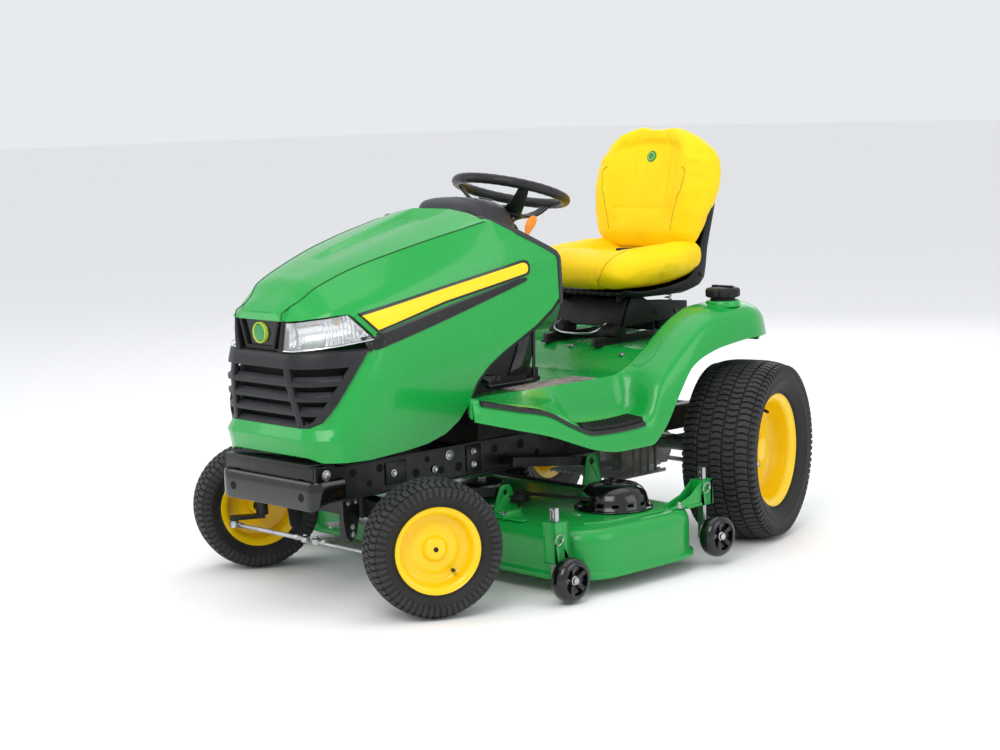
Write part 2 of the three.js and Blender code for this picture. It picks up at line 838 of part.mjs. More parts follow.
// From the ball joint below the knuckle's arm to just short of the sector plate.
function tieRod(side) {
  const z = TIE_ROD_Z;
  const bar = rod(7, [0, 0, z], [-side * (FRONT_KINGPIN_X - 26), 0, z], 10);
  const outer = rod(13, [0, 0, z - 9], [0, 0, z + 11], 12);
  const inner = rod(11, [-side * (FRONT_KINGPIN_X - 30), 0, z - 8], [-side * (FRONT_KINGPIN_X - 30), 0, z + 8], 12);
  return join(bar, outer, inner);
}

function tyre({ radius, width, rim }) {
  const half = width / 2;
  return turnedX(
    [
      [rim + 2, -half * 0.74],
      [radius - 26, -half],
      [radius, -half * 0.62],
      [radius, half * 0.62],
      [radius - 26, half],
      [rim + 2, half * 0.74],
      [rim + 2, half * 0.6],
      [radius - 18, half * 0.7],
      [radius - 18, -half * 0.7],
      [rim + 2, -half * 0.6],
      [rim + 2, -half * 0.74],
    ],
    WHEEL_SIDES,
  );
}

// A dished pressed-steel wheel, open towards the knuckle.
function rim({ width, rim: radius }, bore) {
  const half = (width / 2) * 0.72;
  const outer = radius + 1.6;
  return turnedX(
    [
      [bore, -22],
      [bore + 20, -22],
      [bore + 22, half * 0.2],
      [radius * 0.8, half * 0.4],
      [radius - 20, -half * 0.6],
      [outer, -half],
      [outer, -half + 6],
      [radius - 13, -half * 0.55],
      [radius - 13, half * 0.5],
      [outer, half - 6],
      [outer, half],
      [radius * 0.82, half * 0.6],
      [bore, half * 0.45],
      [bore, -22],
    ],
    WHEEL_SIDES,
  );
}

// Yoke, stub axle and steering arm of a rear wheel. Local frame: the kingpins are the Z axis.
function rearKnuckle(side) {
  const z = REAR_TYRE.radius;
  const at = (x) => side * x;
  const box = (x0, x1, ...rest) => slab(Math.min(at(x0), at(x1)), Math.max(at(x0), at(x1)), ...rest);
  const plate = box(34, 52, -42, 42, 229, 351);
  const lugs = [
    [338, 351],
    [229, 242],
  ].map(([z0, z1]) => join(box(0, 40, -24, 24, z0, z1), rod(24, [0, 0, z0], [0, 0, z1], 14)));
  const pins = [
    [305, 345],
    [236, 275],
  ].map(([z0, z1]) => rod(10.4, [0, 0, z0], [0, 0, z1], 14));
  const hub = rod(30, [at(50), 0, z], [at(96), 0, z], 16);
  const stub = rod(17, [at(50), 0, z], [at(REAR_WHEEL_OFFSET + 40), 0, z], 16);
  const arm = slab(-14, 14, 10, REAR_ARM + 4, 229, 241);
  return join(plate, ...lugs, ...pins, hub, stub, arm);
}

function rearTieRod() {
  const z = 212;
  const span = 2 * REAR_KINGPIN_X;
  return join(
    rod(8, [0, 0, z], [-span + 4, 0, z], 10),
    rod(13, [0, 0, z - 9], [0, 0, 228.6], 12),
    rod(12, [-span, 0, z - 9], [-span, 0, z + 9], 12),
  );
}

// ---------------------------------------------------------------- seat
function seatBase() {
  const sideView = [
    [398, SEAT_BASE_Z],
    [450, SEAT_BASE_Z],
    [462, 700],
    [700, 694],
    [756, 706],
    [756, 752],
    [640, 764],
    [560, 768],
    [540, 782],
    [462, 782],
    [440, 740],
    [398, 690],
  ];
  const body = sidePlate(sideView, -158, 158);
  const hollow = sidePlate(
    [
      [472, 660],
      [760, 660],
      [760, 748],
      [640, 752],
      [556, 756],
      [536, 772],
      [472, 772],
    ],
    -146,
    146,
  );
  const front = slab(-82, 82, 390, 452, SEAT_BASE_Z - 2, 694);
  const rearFeet = [-1, 1].map((side) =>
    slab(side * 115 - 16, side * 115 + 16, 640, 740, SEAT_BASE_Z, 712),
  );
  const bridge = slab(-150, 150, 690, 706, 694, 712);
  const hingeEars = [-1, 1].map((side) =>
    slab(side * 128 - 5, side * 128 + 5, 440, 480, 770, SEAT_PAN_Z + 6),
  );
  const pin = [-1, 1].map((side) =>
    rod(5, [side * 122, 462, SEAT_PAN_Z + 1], [side * 142, 462, SEAT_PAN_Z + 1], 10),
  );
  return join(cut(body, hollow, front), ...rearFeet, bridge, ...hingeEars, ...pin);
}

function seatShell() {
  const pan = sidePlate(
    [
      [430, SEAT_PAN_Z + 12],
      [500, SEAT_PAN_Z],
      [700, SEAT_PAN_Z + 2],
      [776, SEAT_PAN_Z + 50],
      [812, 940],
      [858, 1060],
      [886, 1165],
      [880, 1190],
      [868, 1190],
      [874, 1165],
      [846, 1064],
      [800, 946],
      [764, SEAT_PAN_Z + 58],
      [692, SEAT_PAN_Z + 16],
      [500, SEAT_PAN_Z + 14],
      [430, SEAT_PAN_Z + 18],
    ],
    -215,
    215,
  );
  const ears = [-1, 1].map((side) =>
    cut(
      join(
        rod(8.4, [side * 140 - 5, 462, SEAT_PAN_Z + 1], [side * 140 + 5, 462, SEAT_PAN_Z + 1], 14),
        slab(side * 140 - 5, side * 140 + 5, 455, 470, SEAT_PAN_Z + 1, SEAT_PAN_Z + 16),
      ),
      rod(5.6, [side * 120, 462, SEAT_PAN_Z + 1], [side * 160, 462, SEAT_PAN_Z + 1], 10),
    ),
  );
  const earRoom = [-1, 1].map((side) =>
    slab(side * 128 - 8, side * 128 + 8, 420, 486, SEAT_PAN_Z - 10, SEAT_PAN_Z + 24),
  );
  return cut(join(pan, ...ears), ...earRoom);
}

// A cushion from rings of [offset along, half width, low, high], with rounded sides.
function pillow(rings) {
  return loft(
    rings.map(([y, half, low, high, lean = 0]) => {
      const middle = (low + high) / 2;
      return [
        [-half * 0.86, y + lean, low],
        [-half, y + lean * 0.5, middle - (high - low) * 0.18],
        [-half, y - lean * 0.2, middle + (high - low) * 0.22],
        [-half * 0.84, y - lean, high],
        [half * 0.84, y - lean, high],
        [half, y - lean * 0.2, middle + (high - low) * 0.22],
        [half, y + lean * 0.5, middle - (high - low) * 0.18],
        [half * 0.86, y + lean, low],
      ];
    }),
  );
}

function seatCushion() {
  const low = SEAT_PAN_Z + 24;
  return pillow([
    [340, 190, low + 26, 904],
    [360, 232, low + 6, 936],
    [440, 248, low, 950],
    [610, 248, low + 2, 944],
    [690, 240, low + 20, 950],
    [742, 214, low + 60, 940],
  ]);
}

function seatBack() {
  // Built lying on its back along +Y, then stood up and leaned.
  const lean = 8.5;
  return pillow([
    [0, 178, 6, 88],
    [40, 212, 0, 104],
    [190, 250, -4, 126],
    [275, 244, -4, 122],
    [335, 200, 0, 108],
    [372, 140, 8, 92],
    [388, 84, 20, 74],
  ])
    .rotate([90 - lean, 0, 0])
    .translate([0, 788, 950]);
}

// ---------------------------------------------------------------- mower deck
function deckShell() {
  const { halfWidth, front, rear, bottom, top, corner, wall } = DECK;
  const ring = (grow, z) =>
    roundedRectangle(-halfWidth - grow, halfWidth + grow, front - grow, rear + grow, corner + grow, 5).map(
      ([x, y]) => [x, y, z],
    );
  const outer = loft([
    ring(12, bottom),
    ring(12, bottom + 12),
    ring(0, bottom + 18),
    ring(0, top - 26),
    ring(-12, top - 6),
    ring(-30, top),
  ]);
  const inner = loft([
    ring(-wall, bottom - 20),
    ring(-wall, top - 28),
    ring(-16, top - 10),
    ring(-34, top - wall),
  ]);
  const spindles = [-SPINDLE_X, 0, SPINDLE_X].map((x) => [x, x ? SPINDLE_Y.outer : SPINDLE_Y.centre]);
  const housings = spindles.map(([x, y]) => rod(34, [x, y, top - 22], [x, y, top + 12], 14));
  const bores = spindles.map(([x, y]) => rod(13, [x, y, 100], [x, y, top + 40], 14));
  const discharge = slab(-halfWidth - 40, -halfWidth + 60, -190, 120, bottom - 10, bottom + 96);
  const rearPin = { y: REAR_PIVOT.y + LIFT_ARM.y, z: REAR_PIVOT.z + LIFT_ARM.z };
  const frontPin = { y: FRONT_PIVOT.y + LIFT_ARM.y, z: FRONT_PIVOT.z + LIFT_ARM.z };
  const brackets = [-1, 1].flatMap((side) => [
    sidePlate(
      [
        [rearPin.y - 40, top - 3],
        [rearPin.y + 44, top - 3],
        [rearPin.y + 22, rearPin.z + 24],
        [rearPin.y - 20, rearPin.z + 24],
      ],
      side > 0 ? 262 : -268,
      side > 0 ? 268 : -262,
    ),
    sidePlate(
      [
        [frontPin.y - 34, top - 3],
        [frontPin.y + 34, top - 3],
        [frontPin.y + 16, frontPin.z + 18],
        [frontPin.y - 16, frontPin.z + 18],
      ],
      side > 0 ? 232 : -238,
      side > 0 ? 238 : -232,
    ),
  ]);
  const pinHoles = [
    rod(9.5, [-300, rearPin.y, rearPin.z], [300, rearPin.y, rearPin.z], 12),
    rod(8.5, [-300, frontPin.y, frontPin.z], [300, frontPin.y, frontPin.z], 12),
  ];
  const legSockets = [-1, 1].flatMap((side) => [
    slab(side * 604 - 20, side * 604 + 20, FRONT_GAUGE.y - 14, front + 60, top - 26, top + 4),
    slab(side * 604 - 20, side * 604 + 20, rear - 60, REAR_GAUGE.y + 16, top - 10, top + 46),
  ]);
  const socketHoles = [-1, 1].flatMap((side) => [
    slab(side * 604 - 11.4, side * 604 + 11.4, FRONT_GAUGE.y - 7.4, FRONT_GAUGE.y + 7.4, 120, 260),
    slab(side * 604 - 11.4, side * 604 + 11.4, REAR_GAUGE.y - 7.4, REAR_GAUGE.y + 7.4, 120, 300),
  ]);
  const body = cut(join(outer, ...housings), inner);
  const capped = join(body, ...housings.map((h) => h.intersect(slab(-700, 700, -400, 400, top - 20, top + 20))));
  return cut(join(capped, ...brackets, ...legSockets), ...bores, ...pinHoles, ...socketHoles, discharge);
}

// The pressed cover over a spindle and its pulley.
function spindleCover(side) {
  const z = DECK.top + GAP;
  const shape = [
    [0, 72],
    [COVER.radius * 0.36, 72],
    [COVER.radius * 0.7, 58],
    [COVER.radius * 0.92, 30],
    [COVER.radius, 0],
    [COVER.radius - 6, 0],
    [COVER.radius * 0.92 - 6, 26],
    [COVER.radius * 0.7 - 4, 52],
    [COVER.radius * 0.36, 66],
    [0, 66],
  ].reverse();
  const dome = turned(shape, 18).translate([side * COVER.x, COVER.y, z + 12]);
  const inboard = side > 0 ? COVER.x - 150 : -COVER.x;
  const beltSlot = slab(inboard, inboard + 150, -50, 124, z + 24, z + 54);
  return cut(dome, beltSlot);
}

// A belt around the three pulleys; the centre one stands forward of the others.
function deckBelt() {
  const z = DECK.top + 33;
  const rise = THREE.MathUtils.radToDeg(Math.atan2(SPINDLE_Y.outer - SPINDLE_Y.centre, SPINDLE_X));
  const loop = (r) => [
    ...arc(SPINDLE_X, SPINDLE_Y.outer, r, rise - 90, 90, 9),
    ...arc(-SPINDLE_X, SPINDLE_Y.outer, r, 90, 270 - rise, 9),
    ...arc(0, SPINDLE_Y.centre, r, -90 - rise, -90 + rise, 3),
  ];
  return planPlate(loop(PULLEY_RADIUS + 11), z, z + 10, [loop(PULLEY_RADIUS + 2).reverse()]);
}

function blade() {
  const half = BLADE_LENGTH / 2;
  const flat = planPlate(
    [
      [-half, -30],
      [half - 20, -30],
      [half, -10],
      [half, 30],
      [-half + 20, 30],
      [-half, 10],
    ],
    76,
    82,
  );
  const wings = [-1, 1].map((side) =>
    sidePlate(
      side > 0
        ? [
            [14, 81],
            [30, 81],
            [32, 97],
            [28, 98],
          ]
        : [
            [-28, 98],
            [-32, 97],
            [-30, 81],
            [-14, 81],
          ],
      side > 0 ? half - 90 : -half,
      side > 0 ? half : -half + 90,
    ),
  );
  return cut(join(flat, ...wings), rod(10.5, [0, 0, 60], [0, 0, 110], 12));
}

function spindle() {
  return join(
    rod(10, [0, 0, 68], [0, 0, 90], 12),
    rod(12.4, [0, 0, 82.5], [0, 0, 246], 12),
    rod(16, [0, 0, 60], [0, 0, 75.5], 6),
    rod(PULLEY_RADIUS, [0, 0, 222], [0, 0, 234], 18),
  );
}

function gaugeWheel() {
  const { radius, width } = GAUGE_WHEEL;
  const half = width / 2;
  return turnedX(
    [
      [8.6, -half + 2],
      [radius - 12, -half],
      [radius, -half + 14],
      [radius, half - 14],
      [radius - 12, half],
      [radius * 0.6, half],
      [radius * 0.5, half - 12],
      [8.6, half - 8],
      [8.6, -half + 2],
    ],
    16,
  );
}

// A flat leg in its socket, with the axle bolt that carries the wheel. +X is outboard.
function gaugeLeg(side, { z }, legTop) {
  const leg = slab(-11, 11, -7, 7, z - 16, legTop);
  const inner = side * (GAUGE_WHEEL.x - 604);
  const bolt = rod(8, [0, 0, z], [inner + side * 24, 0, z], 12);
  return join(leg, bolt);
}

function dischargeChute() {
  const x = -DECK.halfWidth - 14;
  const skirt = (inset) =>
    frontPlate(
      [
        [x - 2, 172 - inset],
        [x - 4 - inset * 0.2, 160 - inset],
        [x - 120, 150 - inset],
        [x - 148 + inset, 120],
        [x - 150 + inset, inset ? 40 : 66],
        [x - 2 + (inset ? 40 : 0), inset ? 40 : 66],
        [x - 2 + (inset ? 40 : 0), 172 - inset],
      ].reverse(),
      inset ? -186 : -190,
      inset ? 116 : 120,
    );
  return cut(skirt(0), skirt(4));
}

// Twin arms on a cross shaft. Local frame: the shaft is the X axis, the deck pin lies at LIFT_ARM.
function liftArms(armX, width, shaftRadius, pinRadius, pinReach) {
  const arms = [-1, 1].map((side) => {
    const x = side * armX;
    const angle = Math.atan2(LIFT_ARM.z, LIFT_ARM.y);
    const length = Math.hypot(LIFT_ARM.y, LIFT_ARM.z);
    const strap = slab(x - width / 2, x + width / 2, -16, length + 14, -14, 14)
      .rotate([THREE.MathUtils.radToDeg(angle), 0, 0]);
    const pin = rod(
      pinRadius,
      [x - (side * width) / 2, LIFT_ARM.y, LIFT_ARM.z],
      [x + side * pinReach, LIFT_ARM.y, LIFT_ARM.z],
      12,
    );
    return join(strap, pin);
  });
  return join(rod(shaftRadius, [-armX - 4, 0, 0], [armX + 4, 0, 0], 14), ...arms);
}

// ---------------------------------------------------------------- controls
function fuelCap() {
  return turned(
    [
      [0, 0],
      [29, 0],
      [29, 12.4],
      [52, 12.4],
      [56, 18],
      [56, 42],
      [48, 50],
      [0, 50],
    ],
    20,
  ).translate([FUEL_NECK.x, FUEL_NECK.y, FUEL_NECK.top - 12]);
}

function throttleLever() {
  return join(
    rod(9, [-7, 0, 0], [7, 0, 0], 12),
    sidePlate(
      [
        [-6, 0],
        [6, 0],
        [20, 34],
        [14, 62],
        [-4, 56],
        [-8, 30],
      ],
      -6,
      6,
    ),
  );
}

// A foot pedal on an arm. Local frame: the pivot is the X axis, the pad is ahead of it and above it.
function pedal(side, width, reach, shaft) {
  const rise = 15;
  const arm = sidePlate(
    [
      [8, -8],
      [8, 8],
      [-reach, rise],
      [-reach - 12, rise - 10],
    ],
    -6,
    6,
  );
  const pad = slab(-width / 2, width / 2, -32, 32, -5, 5)
    .rotate([-32, 0, 0])
    .translate([0, -reach, rise]);
  const pivot = side > 0 ? rod(9, [-shaft, 0, 0], [8, 0, 0], 10) : rod(9, [-8, 0, 0], [shaft, 0, 0], 10);
  return join(pivot, arm, pad);
}

// ---------------------------------------------------------------- assembly
const machine = new THREE.Group();
machine.position.set(MACHINE_OFFSET_X, MACHINE_OFFSET_Y, 0);

machine.add(
  node("frame", frame(), paint.black()),
  node("engine", engine(), paint.aluminium()),
  node("transaxle", transaxle(), paint.aluminium()),
  node("console", pedestal(), paint.black()),
  node("dash_panel", dashPanel(), paint.charcoal()),
  node("fender_deck", fenderDeck(), paint.green()),
  node("height_knob", heightKnob(), paint.black()),
  node("fuel_cap", fuelCap(), paint.black()),
);

const hood = hoodPieces();
machine.add(
  node("hood_shell", hood.shell, paint.green()),
  node("grille", hood.grille, paint.charcoal()),
  node("headlight_right", hood.lights[0], paint.lens()),
  node("headlight_left", hood.lights[1], paint.lens()),
);

machine.add(
  group(
    [0, COLUMN.y, COLUMN.z],
    [-COLUMN.tilt, 0, 0],
    node("steering_wheel", steeringWheel(), paint.black()),
    node("steering_shaft", steeringShaft(), paint.steel()),
  ),
  group([0, SECTOR_Y, 0], [0, 0, FRONT_STEER], node("sector_plate", sectorPlate(), paint.steel())),
  node("front_axle", frontAxle(), paint.black()),
);

// The ball joint at the end of a steering arm that points along (0, length) when straight.
const armEnd = (x, y, steer, length) => [x - length * Math.sin(steer), y + length * Math.cos(steer), 0];

for (const [name, side] of [
  ["left", 1],
  ["right", -1],
]) {
  const frontPin = [side * FRONT_KINGPIN_X, FRONT_AXLE_Y, 0];
  const rearPin = [side * REAR_KINGPIN_X, REAR_AXLE_Y, 0];
  const outward = [0, side > 0 ? 0 : Math.PI, 0];
  machine.add(
    group(
      frontPin,
      [0, 0, FRONT_STEER],
      node(`front_knuckle_${name}`, frontKnuckle(side), paint.black()),
      group(
        [side * FRONT_WHEEL_OFFSET, 0, FRONT_TYRE.radius],
        outward,
        node(`front_tyre_${name}`, tyre(FRONT_TYRE), paint.rubber()),
        node(`front_rim_${name}`, rim(FRONT_TYRE, 13.5), paint.yellow()),
      ),
    ),
    group(
      armEnd(frontPin[0], frontPin[1], FRONT_STEER, -FRONT_ARM),
      [0, 0, 0],
      node(`tie_rod_${name}`, tieRod(side), paint.steel()),
    ),
    group(
      rearPin,
      [0, 0, REAR_STEER],
      node(`rear_knuckle_${name}`, rearKnuckle(side), paint.black()),
      group(
        [side * REAR_WHEEL_OFFSET, 0, REAR_TYRE.radius],
        outward,
        node(`rear_tyre_${name}`, tyre(REAR_TYRE), paint.rubber()),
        node(`rear_rim_${name}`, rim(REAR_TYRE, 17.5), paint.yellow()),
      ),
    ),
  );
}
machine.add(
  group(
    armEnd(REAR_KINGPIN_X, REAR_AXLE_Y, REAR_STEER, REAR_ARM),
    [0, 0, 0],
    node("rear_tie_rod", rearTieRod(), paint.steel()),
  ),
);

machine.add(
  node("seat_base", seatBase(), paint.black()),
  node("seat_shell", seatShell(), paint.black()),
  node("seat_cushion", seatCushion(), paint.seat()),
  node("seat_back", seatBack(), paint.seat()),
);

machine.add(
  node("deck_shell", deckShell(), paint.lightGreen()),
  node("spindle_cover_left", spindleCover(1), paint.black()),
  node("spindle_cover_right", spindleCover(-1), paint.black()),
  node("deck_belt", deckBelt(), paint.rubber()),
  node("discharge_chute", dischargeChute(), paint.black()),
  group(
    [0, FRONT_PIVOT.y, FRONT_PIVOT.z],
    [0, 0, 0],
    node("front_draft_arms", liftArms(222, 8, 7, 7.5, 14), paint.black()),
  ),
  group(
    [0, REAR_PIVOT.y, REAR_PIVOT.z],
    [0, 0, 0],
    node("rear_lift_arms", liftArms(250, 10, 12, 8, 17), paint.black()),
  ),
);
for (const [name, x, y, turn] of [
  ["left", SPINDLE_X, SPINDLE_Y.outer, 20],
  ["centre", 0, SPINDLE_Y.centre, 65],
  ["right", -SPINDLE_X, SPINDLE_Y.outer, 20],
]) {
  machine.add(
    group(
      [x, y, 0],
      [0, 0, THREE.MathUtils.degToRad(turn)],
      node(`blade_${name}`, blade(), paint.steel()),
      node(`spindle_${name}`, spindle(), paint.steel()),
    ),
  );
}
for (const [end, place, legTop] of [
  ["front", FRONT_GAUGE, 272],
  ["rear", REAR_GAUGE, 298],
]) {
  for (const [name, side] of [
    ["left", 1],
    ["right", -1],
  ]) {
    machine.add(
      group(
        [side * GAUGE_WHEEL.x, place.y, place.z],
        [0, side > 0 ? 0 : Math.PI, 0],
        node(`gauge_wheel_${end}_${name}`, gaugeWheel(), paint.black()),
      ),
      group(
        [side * 604, place.y, 0],
        [0, 0, 0],
        node(`gauge_leg_${end}_${name}`, gaugeLeg(side, place, legTop), paint.steel()),
      ),
    );
  }
}

machine.add(
  group([THROTTLE.x, THROTTLE.y, THROTTLE.z], [0, 0, 0], node("throttle_lever", throttleLever(), paint.orange())),
  group([245, -215, 604], [0, 0, 0], node("brake_pedal", pedal(1, 66, 80, 39), paint.black())),
  group([-232, -215, 604], [0, 0, 0], node("forward_pedal", pedal(-1, 36, 80, 26), paint.black())),
  group([-270, -190, 590], [0, 0, 0], node("reverse_pedal", pedal(-1, 30, 60, 64), paint.black())),
);

const tractor = new THREE.Group();
tractor.add(machine);
export default tractor;
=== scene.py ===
"""The looks of a riding lawn mower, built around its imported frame. Metres, +Z up, the tractor faces -Y."""
import json
import math

import bmesh
import bpy
import numpy as np
from mathutils import Matrix, Vector


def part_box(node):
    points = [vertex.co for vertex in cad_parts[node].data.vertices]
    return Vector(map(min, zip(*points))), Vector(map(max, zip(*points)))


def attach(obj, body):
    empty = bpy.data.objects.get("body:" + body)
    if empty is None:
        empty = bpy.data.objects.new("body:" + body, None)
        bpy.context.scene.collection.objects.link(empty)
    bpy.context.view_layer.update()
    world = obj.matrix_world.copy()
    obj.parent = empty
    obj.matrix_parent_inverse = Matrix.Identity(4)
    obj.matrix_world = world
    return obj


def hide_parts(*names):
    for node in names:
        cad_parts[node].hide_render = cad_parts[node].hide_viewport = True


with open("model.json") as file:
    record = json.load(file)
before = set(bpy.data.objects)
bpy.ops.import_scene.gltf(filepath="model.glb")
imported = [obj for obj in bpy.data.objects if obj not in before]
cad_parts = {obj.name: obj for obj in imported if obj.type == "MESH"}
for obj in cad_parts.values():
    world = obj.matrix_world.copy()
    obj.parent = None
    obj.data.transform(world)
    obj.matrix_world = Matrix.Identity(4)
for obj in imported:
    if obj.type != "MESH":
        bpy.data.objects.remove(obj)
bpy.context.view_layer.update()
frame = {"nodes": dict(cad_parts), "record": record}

# The tractor's centre plane and the middle of its wheelbase, in the row frame.
OFFSET = Vector((0.069, -0.038, 0.0))
SIDES = (("left", 1), ("right", -1))
X, Z = Vector((1, 0, 0)), Vector((0, 0, 1))


# ---------------------------------------------------------------- meshes
class Shape:
    """Vertices and faces, added up from the pieces below."""

    def __init__(self):
        self.verts = []
        self.faces = []

    def add(self, piece, matrix=None):
        verts, faces = piece
        base = len(self.verts)
        for v in verts:
            self.verts.append(tuple(matrix @ Vector(v)) if matrix else tuple(v))
        self.faces += [tuple(base + i for i in f) for f in faces]
        return self


def loft(rings, closed=True, caps=True):
    """A skin through rings of points, each with the same number of points."""
    n = len(rings[0])
    faces = []
    for r in range(len(rings) - 1):
        for i in range(n if closed else n - 1):
            a, b = r * n + i, r * n + (i + 1) % n
            faces.append((a, b, b + n, a + n))
    if caps and closed:
        faces.append(tuple(reversed(range(n))))
        faces.append(tuple((len(rings) - 1) * n + i for i in range(n)))
    return [p for ring in rings for p in ring], faces


def basis(axis):
    """A matrix whose Z is axis."""
    return Vector(axis).normalized().to_track_quat("Z", "Y").to_matrix().to_4x4()


def turned(profile, sides=48, origin=(0, 0, 0), axis=(0, 0, 1), closed=False):
    """(radius, height) points turned around axis."""
    m = Matrix.Translation(origin) @ basis(axis)
    rings = []
    for i in range(sides):
        a = 2 * math.pi * i / sides
        rings.append([m @ Vector((r * math.cos(a), r * math.sin(a), h)) for r, h in profile])
    n = len(profile)
    faces = []
    for i in range(sides):
        j = (i + 1) % sides
        for k in range(n if closed else n - 1):
            l = (k + 1) % n
            faces.append((i * n + k, j * n + k, j * n + l, i * n + l))
    return [p for ring in rings for p in ring], faces


def rod(a, b, radius, sides=20, bevel=0.001):
    """A cylinder from a to b with slightly rounded ends."""
    a, b = Vector(a), Vector(b)
    length = (b - a).length
    e = min(bevel, radius * 0.4, length * 0.3)
    profile = [(0, 0), (radius - e, 0), (radius, e), (radius, length - e), (radius - e, length), (0, length)]
    return turned(profile, sides, a, b - a)


def tube(path, radius, sides=12, closed=False):
    """A round bar along points. radius may be one number or one per point."""
    points = [Vector(p) for p in path]
    n = len(points)
    radii = [radius] * n if isinstance(radius, (int, float)) else radius
    rings = []
    side = None
    for i, p in enumerate(points):
        before = points[(i - 1) % n] if closed or i else points[0]
        after = points[(i + 1) % n] if closed or i < n - 1 else points[-1]
        along = (after - before).normalized()
        if side is None:
            side = along.orthogonal().normalized()
        side = (side - along * side.dot(along)).normalized()
        up = along.cross(side)
        rings.append(
            [
                p + (side * math.cos(t) + up * math.sin(t)) * radii[i]
                for t in (2 * math.pi * k / sides for k in range(sides))
            ]
        )
    if closed:
        rings.append(rings[0])
    return loft(rings, True, not closed)


def prism(outline, plane, a, b):
    """An outline in the plane "yz", "xz" or "xy", from a to b across it."""
    place = {
        "yz": lambda p, c: (c, p[0], p[1]),
        "xz": lambda p, c: (p[0], c, p[1]),
        "xy": lambda p, c: (p[0], p[1], c),
    }[plane]
    return loft([[place(p, a) for p in outline], [place(p, b) for p in outline]])


def slab(x0, x1, y0, y1, z0, z1):
    return prism([(x0, y0), (x1, y0), (x1, y1), (x0, y1)], "xy", z0, z1)


def arc(cx, cy, radius, start, end, count):
    return [
        (cx + radius * math.cos(math.radians(t)), cy + radius * math.sin(math.radians(t)))
        for t in np.linspace(start, end, count)
    ]


def round_corners(points, radii, count=5, closed=False):
    """A polyline whose corners are rounded; radii has one radius per point and the ends are left."""
    points = [Vector(p) for p in points]
    n = len(points)
    out = []
    for i, p in enumerate(points):
        if not closed and i in (0, n - 1):
            out.append(p)
            continue
        a, b = points[(i - 1) % n] - p, points[(i + 1) % n] - p
        r = min(radii[i], a.length * 0.48, b.length * 0.48)
        start, end = p + a.normalized() * r, p + b.normalized() * r
        for t in np.linspace(0, 1, count):
            out.append((1 - t) ** 2 * start + 2 * t * (1 - t) * p + t * t * end)
    return out


def resample(points, count):
    """Points at equal steps along a polyline."""
    points = [Vector(p) for p in points]
    lengths = np.cumsum([0] + [(b - a).length for a, b in zip(points, points[1:])])
    coords = np.array([list(p) for p in points])
    at = np.linspace(0, lengths[-1], count)
    return [tuple(np.interp(t, lengths, coords[:, k]) for k in range(coords.shape[1])) for t in at]


def smooth_between(stations, values, at):
    """A smooth curve through values at stations, read at `at`; it doesn't overshoot."""
    s, v = np.array(stations, float), np.array(values, float)
    d = np.diff(v, axis=0) / np.diff(s)[:, None]
    m = np.zeros_like(v)
    m[1:-1] = np.where(d[:-1] * d[1:] > 0, 2 * d[:-1] * d[1:] / (d[:-1] + d[1:] + 1e-12), 0)
    m[0], m[-1] = d[0], d[-1]
    k = int(np.clip(np.searchsorted(s, at) - 1, 0, len(s) - 2))
    h = s[k + 1] - s[k]
    t = (at - s[k]) / h
    return (
        (2 * t**3 - 3 * t**2 + 1) * v[k]
        + (t**3 - 2 * t**2 + t) * h * m[k]
        + (-2 * t**3 + 3 * t**2) * v[k + 1]
        + (t**3 - t**2) * h * m[k + 1]
    )


# ---------------------------------------------------------------- objects
def bake(obj):
    """Applies obj's modifiers."""
    graph = bpy.context.evaluated_depsgraph_get()
    mesh = bpy.data.meshes.new_from_object(obj.evaluated_get(graph))
    obj.modifiers.clear()
    obj.data = mesh
    return obj


def shade(obj, angle=35):
    for p in obj.data.polygons:
        p.use_smooth = True
    obj.data.set_sharp_from_angle(angle=math.radians(angle))


def raw(name, shape):
    """An object from a Shape or a (vertices, faces) pair, placed in the row frame."""
    if not isinstance(shape, Shape):
        shape = Shape().add(shape)
    mesh = bpy.data.meshes.new(name)
    mesh.from_pydata([tuple(Vector(v) + OFFSET) for v in shape.verts], [], shape.faces)
    bm = bmesh.new()
    bm.from_mesh(mesh)
    bmesh.ops.remove_doubles(bm, verts=bm.verts, dist=1e-6)
    bmesh.ops.dissolve_degenerate(bm, dist=1e-7, edges=bm.edges)
    bmesh.ops.recalc_face_normals(bm, faces=bm.faces)
    bm.to_mesh(mesh)
    bm.free()
    obj = bpy.data.objects.new(name, mesh)
    bpy.context.scene.collection.objects.link(obj)
    return obj


def dress(obj, material, body, replaces=(), angle=35):
    obj.data.materials.clear()
    obj.data.materials.append(material)
    shade(obj, angle)
    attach(obj, body)
    if replaces:
        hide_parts(*replaces)
    return obj


def add_bevel(obj, width, segments=2, angle=40):
    bevel = obj.modifiers.new("bevel", "BEVEL")
    bevel.width = width
    bevel.segments = segments
    bevel.limit_method = "ANGLE"
    bevel.angle_limit = math.radians(angle)
    bevel.use_clamp_overlap = True
    return bake(obj)


def thicken(obj, thickness, offset=-1):
    solid = obj.modifiers.new("solid", "SOLIDIFY")
    solid.thickness = thickness
    solid.offset = offset
    return bake(obj)


def subdivide(obj, levels=1):
    sub = obj.modifiers.new("sub", "SUBSURF")
    sub.levels = sub.render_levels = levels
    return bake(obj)


def boolean(obj, tool, operation="DIFFERENCE"):
    """obj cut by tool, which is removed."""
    mod = obj.modifiers.new("cut", "BOOLEAN")
    mod.object = tool
    mod.operation = operation
    mod.solver = "MANIFOLD"
    bake(obj)
    bpy.data.objects.remove(tool)
    return obj


def piece(name, shape, material, body, bevel=0, replaces=(), angle=35, segments=2):
    obj = raw(name, shape)
    if bevel:
        add_bevel(obj, bevel, segments)
    return dress(obj, material, body, replaces=replaces, angle=angle)


